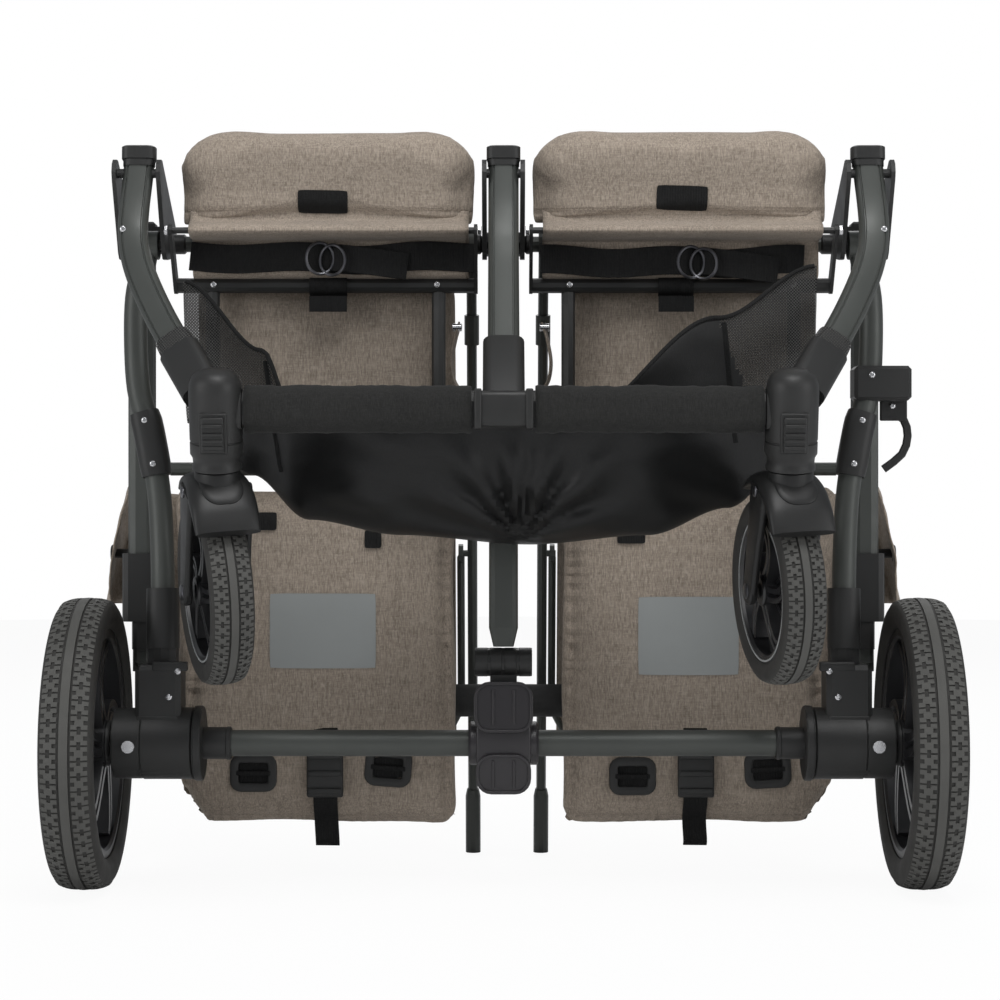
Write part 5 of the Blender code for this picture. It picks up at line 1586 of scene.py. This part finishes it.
# %% Trim on the backrests
PANELS = {"left": ((-0.1615, 0.2170), (0.0950, 0.0670)), "right": ((0.1655, 0.2125), (0.0900, 0.0700))}
SLOTS = {"left": ((-0.2235, 0.0900, 0.0), (-0.1030, 0.0945, 0.08)),
         "right": ((0.1155, 0.0870, 0.0), (0.2365, 0.0930, -0.05))}
TABS = {"left": ((-0.2120, 0.3150, 0.018, 0.016), (-0.1165, 0.2990, 0.015, 0.016)),
        "right": ((0.1143, 0.3010, 0.025, 0.012),)}
CLIPS = {"left": -0.1590, "right": 0.1716}
for side, way in SIDES.items():
    pad = pads["backrest_pad", side]
    body = "backrest_" + side
    middle, size = PANELS[side]
    mount([patch("blank_panel_" + side, pad, middle, size, patch_film, thick=0.0005)],
          "blank_panel_" + side, body)
    trims = [patch("tab", pad, (x, z), (w, h), webbing_cloth, thick=0.0016) for x, z, w, h in TABS[side]]
    for x, z, tilt in SLOTS[side]:
        y = surface_y(pad, x, z)
        outline = [Vector((a, 0, b)) for a, b in box_outline(0.0340, 0.0260, 0.0060, 4)]
        frame_bar = bar("slot_frame", outline, box_outline(0.0080, 0.0042, 0.0014, 2), black_plastic,
                        (0, 1, 0), closed=True)
        frame_bar.data.transform(Matrix.Translation((x, y - 0.0012, z)) @ Matrix.Rotation(tilt, 4, "Y"))
        cross = local_block("slot_bar", (-0.0155, -0.0022, -0.0022), (0.0155, 0.0004, 0.0022),
                      0.0008, webbing_cloth)
        cross.data.transform(Matrix.Translation((x, y - 0.0016, z)) @ Matrix.Rotation(tilt, 4, "Y"))
        trims += [frame_bar, cross,
                  patch("slot_cloth", pad, (x, z), (0.030, 0.020), webbing_cloth, tilt, thick=0.0004)]
    mount(trims, "slot_frames_" + side, body)
    x = CLIPS[side]
    y = surface_y(pad, x, 0.09)
    top, foot = surface_y(pad, x, 0.130), surface_y(pad, x, 0.050)
    hang = smooth_line([(x, top + 0.0006, 0.1300), (x, top - 0.0016, 0.1230), (x, y - 0.0046, 0.1100),
                        (x, y - 0.0042, 0.0700),
                        (x, foot - 0.0022, 0.0480), (x + 0.001, foot - 0.0012, 0.0290),
                        (x + 0.001, foot + 0.0020, 0.0235)], 5)
    webbing = strip("webbing", hang, 0.0215, 0.0015, webbing_cloth, (1, 0, 0))
    clip_parts = [local_block("clip", (x - 0.0162, y - 0.0105, 0.0690),
                        (x + 0.0162, y - 0.0058, 0.1120), 0.0018, black_plastic)]
    for z in (0.0750, 0.0905, 0.1060):
        clip_parts.append(local_block("clip_bar", (x - 0.0148, y - 0.0128, z - 0.0025),
                                (x + 0.0148, y - 0.0098, z + 0.0025),
                                0.0011, black_plastic))
    clip = mount(clip_parts, "recline_clip_" + side, body)
    mount([webbing], "recline_strap_" + side, body)

# %% Tabs on the calf rests
CALF_TABS = {"left": ((-0.1560, 0.5915), (0.0430, 0.0190), 0.02),
             "right": ((0.1540, 0.5945), (0.0440, 0.0205), 0.03)}
for side, (middle, size, tilt) in CALF_TABS.items():
    made = patch("plain_tab_" + side, pads["calf_pad", side], middle, size, webbing_cloth, -tilt,
                 thick=0.0010)
    mount([made], "plain_tab_" + side, "calf_rest_" + side)

# %% [markdown]
# Stitches hold the hems and the panels. One short thread is copied to places along each seam, each place found
# on the pad by a ray, and every thread is turned a little by chance, with a fixed seed.

# %% Stitches
thread_tan = hard_finish("thread_tan", (0.30, 0.25, 0.20), 0.75, grain_size=3000.0, depth=0.1)


def thread(upright):
    """One stitch: a short thick thread along X, or along Z."""
    ends = [(-0.0013, 0.0004, 0), (-0.0008, -0.0002, 0), (0.0008, -0.0002, 0), (0.0013, 0.0004, 0)]
    line = [Vector((0, y, x)) if upright else Vector((x, y, 0)) for x, y, _ in ends]
    made = bar("one_stitch", line, round_outline(0.00030, 6), thread_tan)
    made.hide_render = made.hide_viewport = True
    return made


STITCH = {False: thread(False), True: thread(True)}


def seam(name, pad, start, end, material, body, pitch=0.0040):
    """A row of stitches between two (X, Z) points on a pad."""
    start, end = Vector(start), Vector(end)
    count = int((end - start).length / pitch)
    bm = bmesh.new()
    for i in range(count + 1):
        x, z = start + (end - start) * i / count
        y = surface_y(pad, x, z)
        if y is not None:
            bm.verts.new((x, y - 0.0002, z))
    places = piece_from(bm, name, material)
    upright = abs(end.y - start.y) > abs(end.x - start.x)
    made = run_tree(places, on_places, Shape=STITCH[upright], Seed=7, Material=material,
                    **{"Least turn": -0.05, "Most turn": 0.05})
    return mount([made], name, body)


for side, way in SIDES.items():
    inner, outer = CALF_RESTS[side]
    low, high = sorted((inner, outer))
    seam("hem_stitches_" + side, pads["calf_pad", side], (low + 0.010, 0.5848), (high - 0.010, 0.5848),
         thread_tan, "calf_rest_" + side)
    inner, outer = BACKRESTS[side]
    seam("side_stitches_" + side, pads["backrest_pad", side], (inner + way * 0.018, 0.056),
         (inner + way * 0.018, 0.335), thread_tan,
         "backrest_" + side)
    low, high = sorted((inner, outer - way * 0.034))
    seam("low_stitches_" + side, pads["backrest_pad", side], (low + 0.004, 0.0510), (high - 0.004, 0.0510),
         thread_tan, "backrest_" + side)

# %% [markdown]
# The screws are one pan head with a hexagon socket. They sit at the covers of the rear legs, the hub castings,
# the latch and the tube fittings, each turned by chance. Bolts and round spacers lie along the pivots. A short
# band of cloth hangs from a bolt at each seat's inner side, and a snap holds each hood's wing.

# %% Screws
def screw_head():
    bm = bmesh.new()
    rings = []
    for r, z, count in ((0.0027, 0.0, 24), (0.0027, 0.0006, 24), (0.0022, 0.0012, 24), (0.0014, 0.0014, 24),
                        (0.0012, 0.0004, 24)):
        ring = []
        for k in range(count):
            a = 2 * pi * k / count
            r_here = r * (0.93 + 0.07 * cos(6 * a)) if r < 0.0015 else r
            ring.append(bm.verts.new((r_here * cos(a), r_here * sin(a), z)))
        rings.append(ring)
    for first, second in zip(rings, rings[1:]):
        for i in range(24):
            j = (i + 1) % 24
            bm.faces.new((first[i], first[j], second[j], second[i]))
    bm.faces.new(rings[0])
    bm.faces.new(rings[-1])
    made = piece_from(bm, "one_screw", bright_steel)
    made.hide_render = made.hide_viewport = True
    return made


SCREW = screw_head()
TO_FRONT = (pi / 2, 0.0, 0.0)


def screws(name, places, body, facing=TO_FRONT, material=bright_steel, seed=3):
    bm = bmesh.new()
    for place in places:
        bm.verts.new(place)
    made = run_tree(piece_from(bm, name, material), on_places, Shape=SCREW, Facing=facing, Seed=seed,
                    Material=material,
                    **{"Most turn": 1.0})
    return mount([made], name, body)


rear_places = list(COVER_SCREWS)
for way in SIDES.values():
    rear_places += [at(way * 0.2775, -0.0216, 0.1880), at(way * 0.2850, -0.0212, 0.1660)]
rear_places += [at(0.3180, 0.0058, 0.4420), at(0.3385, 0.0256, 0.4160)]
screws("rear_screws", rear_places, "rear_frame")
screws("front_screws", [at(way * 0.3230, -0.0285, 0.5640) for way in SIDES.values()], "front_frame", seed=5)
seat_places = [at(way * x, 0.0362, 0.5225) for way in SIDES.values() for x in (0.0580, 0.2535)]
screws("seat_screws", seat_places, "seat_frame", seed=9)
pins = []
for side, way in SIDES.items():
    pins.append(tube_x("nut", way * 0.2890, way * 0.2925, (0.006, 0.5665), 0.0044, bright_steel, 6))
    pins.append(tube_x("nut", way * 0.0190, way * 0.0222, (0.006, 0.5665), 0.0044, bright_steel, 6))
mount(pins, "calf_pivot_nuts", "seat_frame")
for side, x, out in (("left", -0.0405, -1), ("right", 0.0370, 1)):
    hang = smooth_line([at(x - out * 0.002, 0.062, 0.4900), at(x + out * 0.0020, 0.0575, 0.4750),
                        at(x + out * 0.0050, 0.0560, 0.4560),
                        at(x + out * 0.0030, 0.0585, 0.4400), at(x - out * 0.003, 0.064, 0.4300)], 5)
    mount([strip("band", hang, 0.0090, 0.0015, seat_fabric, (0.25, 1, 0)),
           tube_x("bolt", x - 0.0050, x + 0.0040, (0.0590, 0.4865), 0.0036, bright_steel, 16)],
           "side_band_" + side, "seat_frame")
knobs = [tube_x("spacer", way * a, way * b, (0.060, 0.560), 0.0088, black_plastic, 28, 0.0015)
         for way in SIDES.values() for a, b in ((0.2800, 0.2920), (0.0190, 0.0250))]
mount(knobs, "pivot_spacers", "main_frame")
for side, way in SIDES.items():
    snap = [tube_x("snap", way * 0.3395, way * 0.3585, (0.150, 0.285), 0.0042, black_plastic, 20, 0.0008),
            tube_x("snap", way * 0.3578, way * 0.3604, (0.150, 0.285), 0.0080, black_plastic, 28, 0.0010)]
    mount(snap, "wing_snap_" + side, "main_frame")
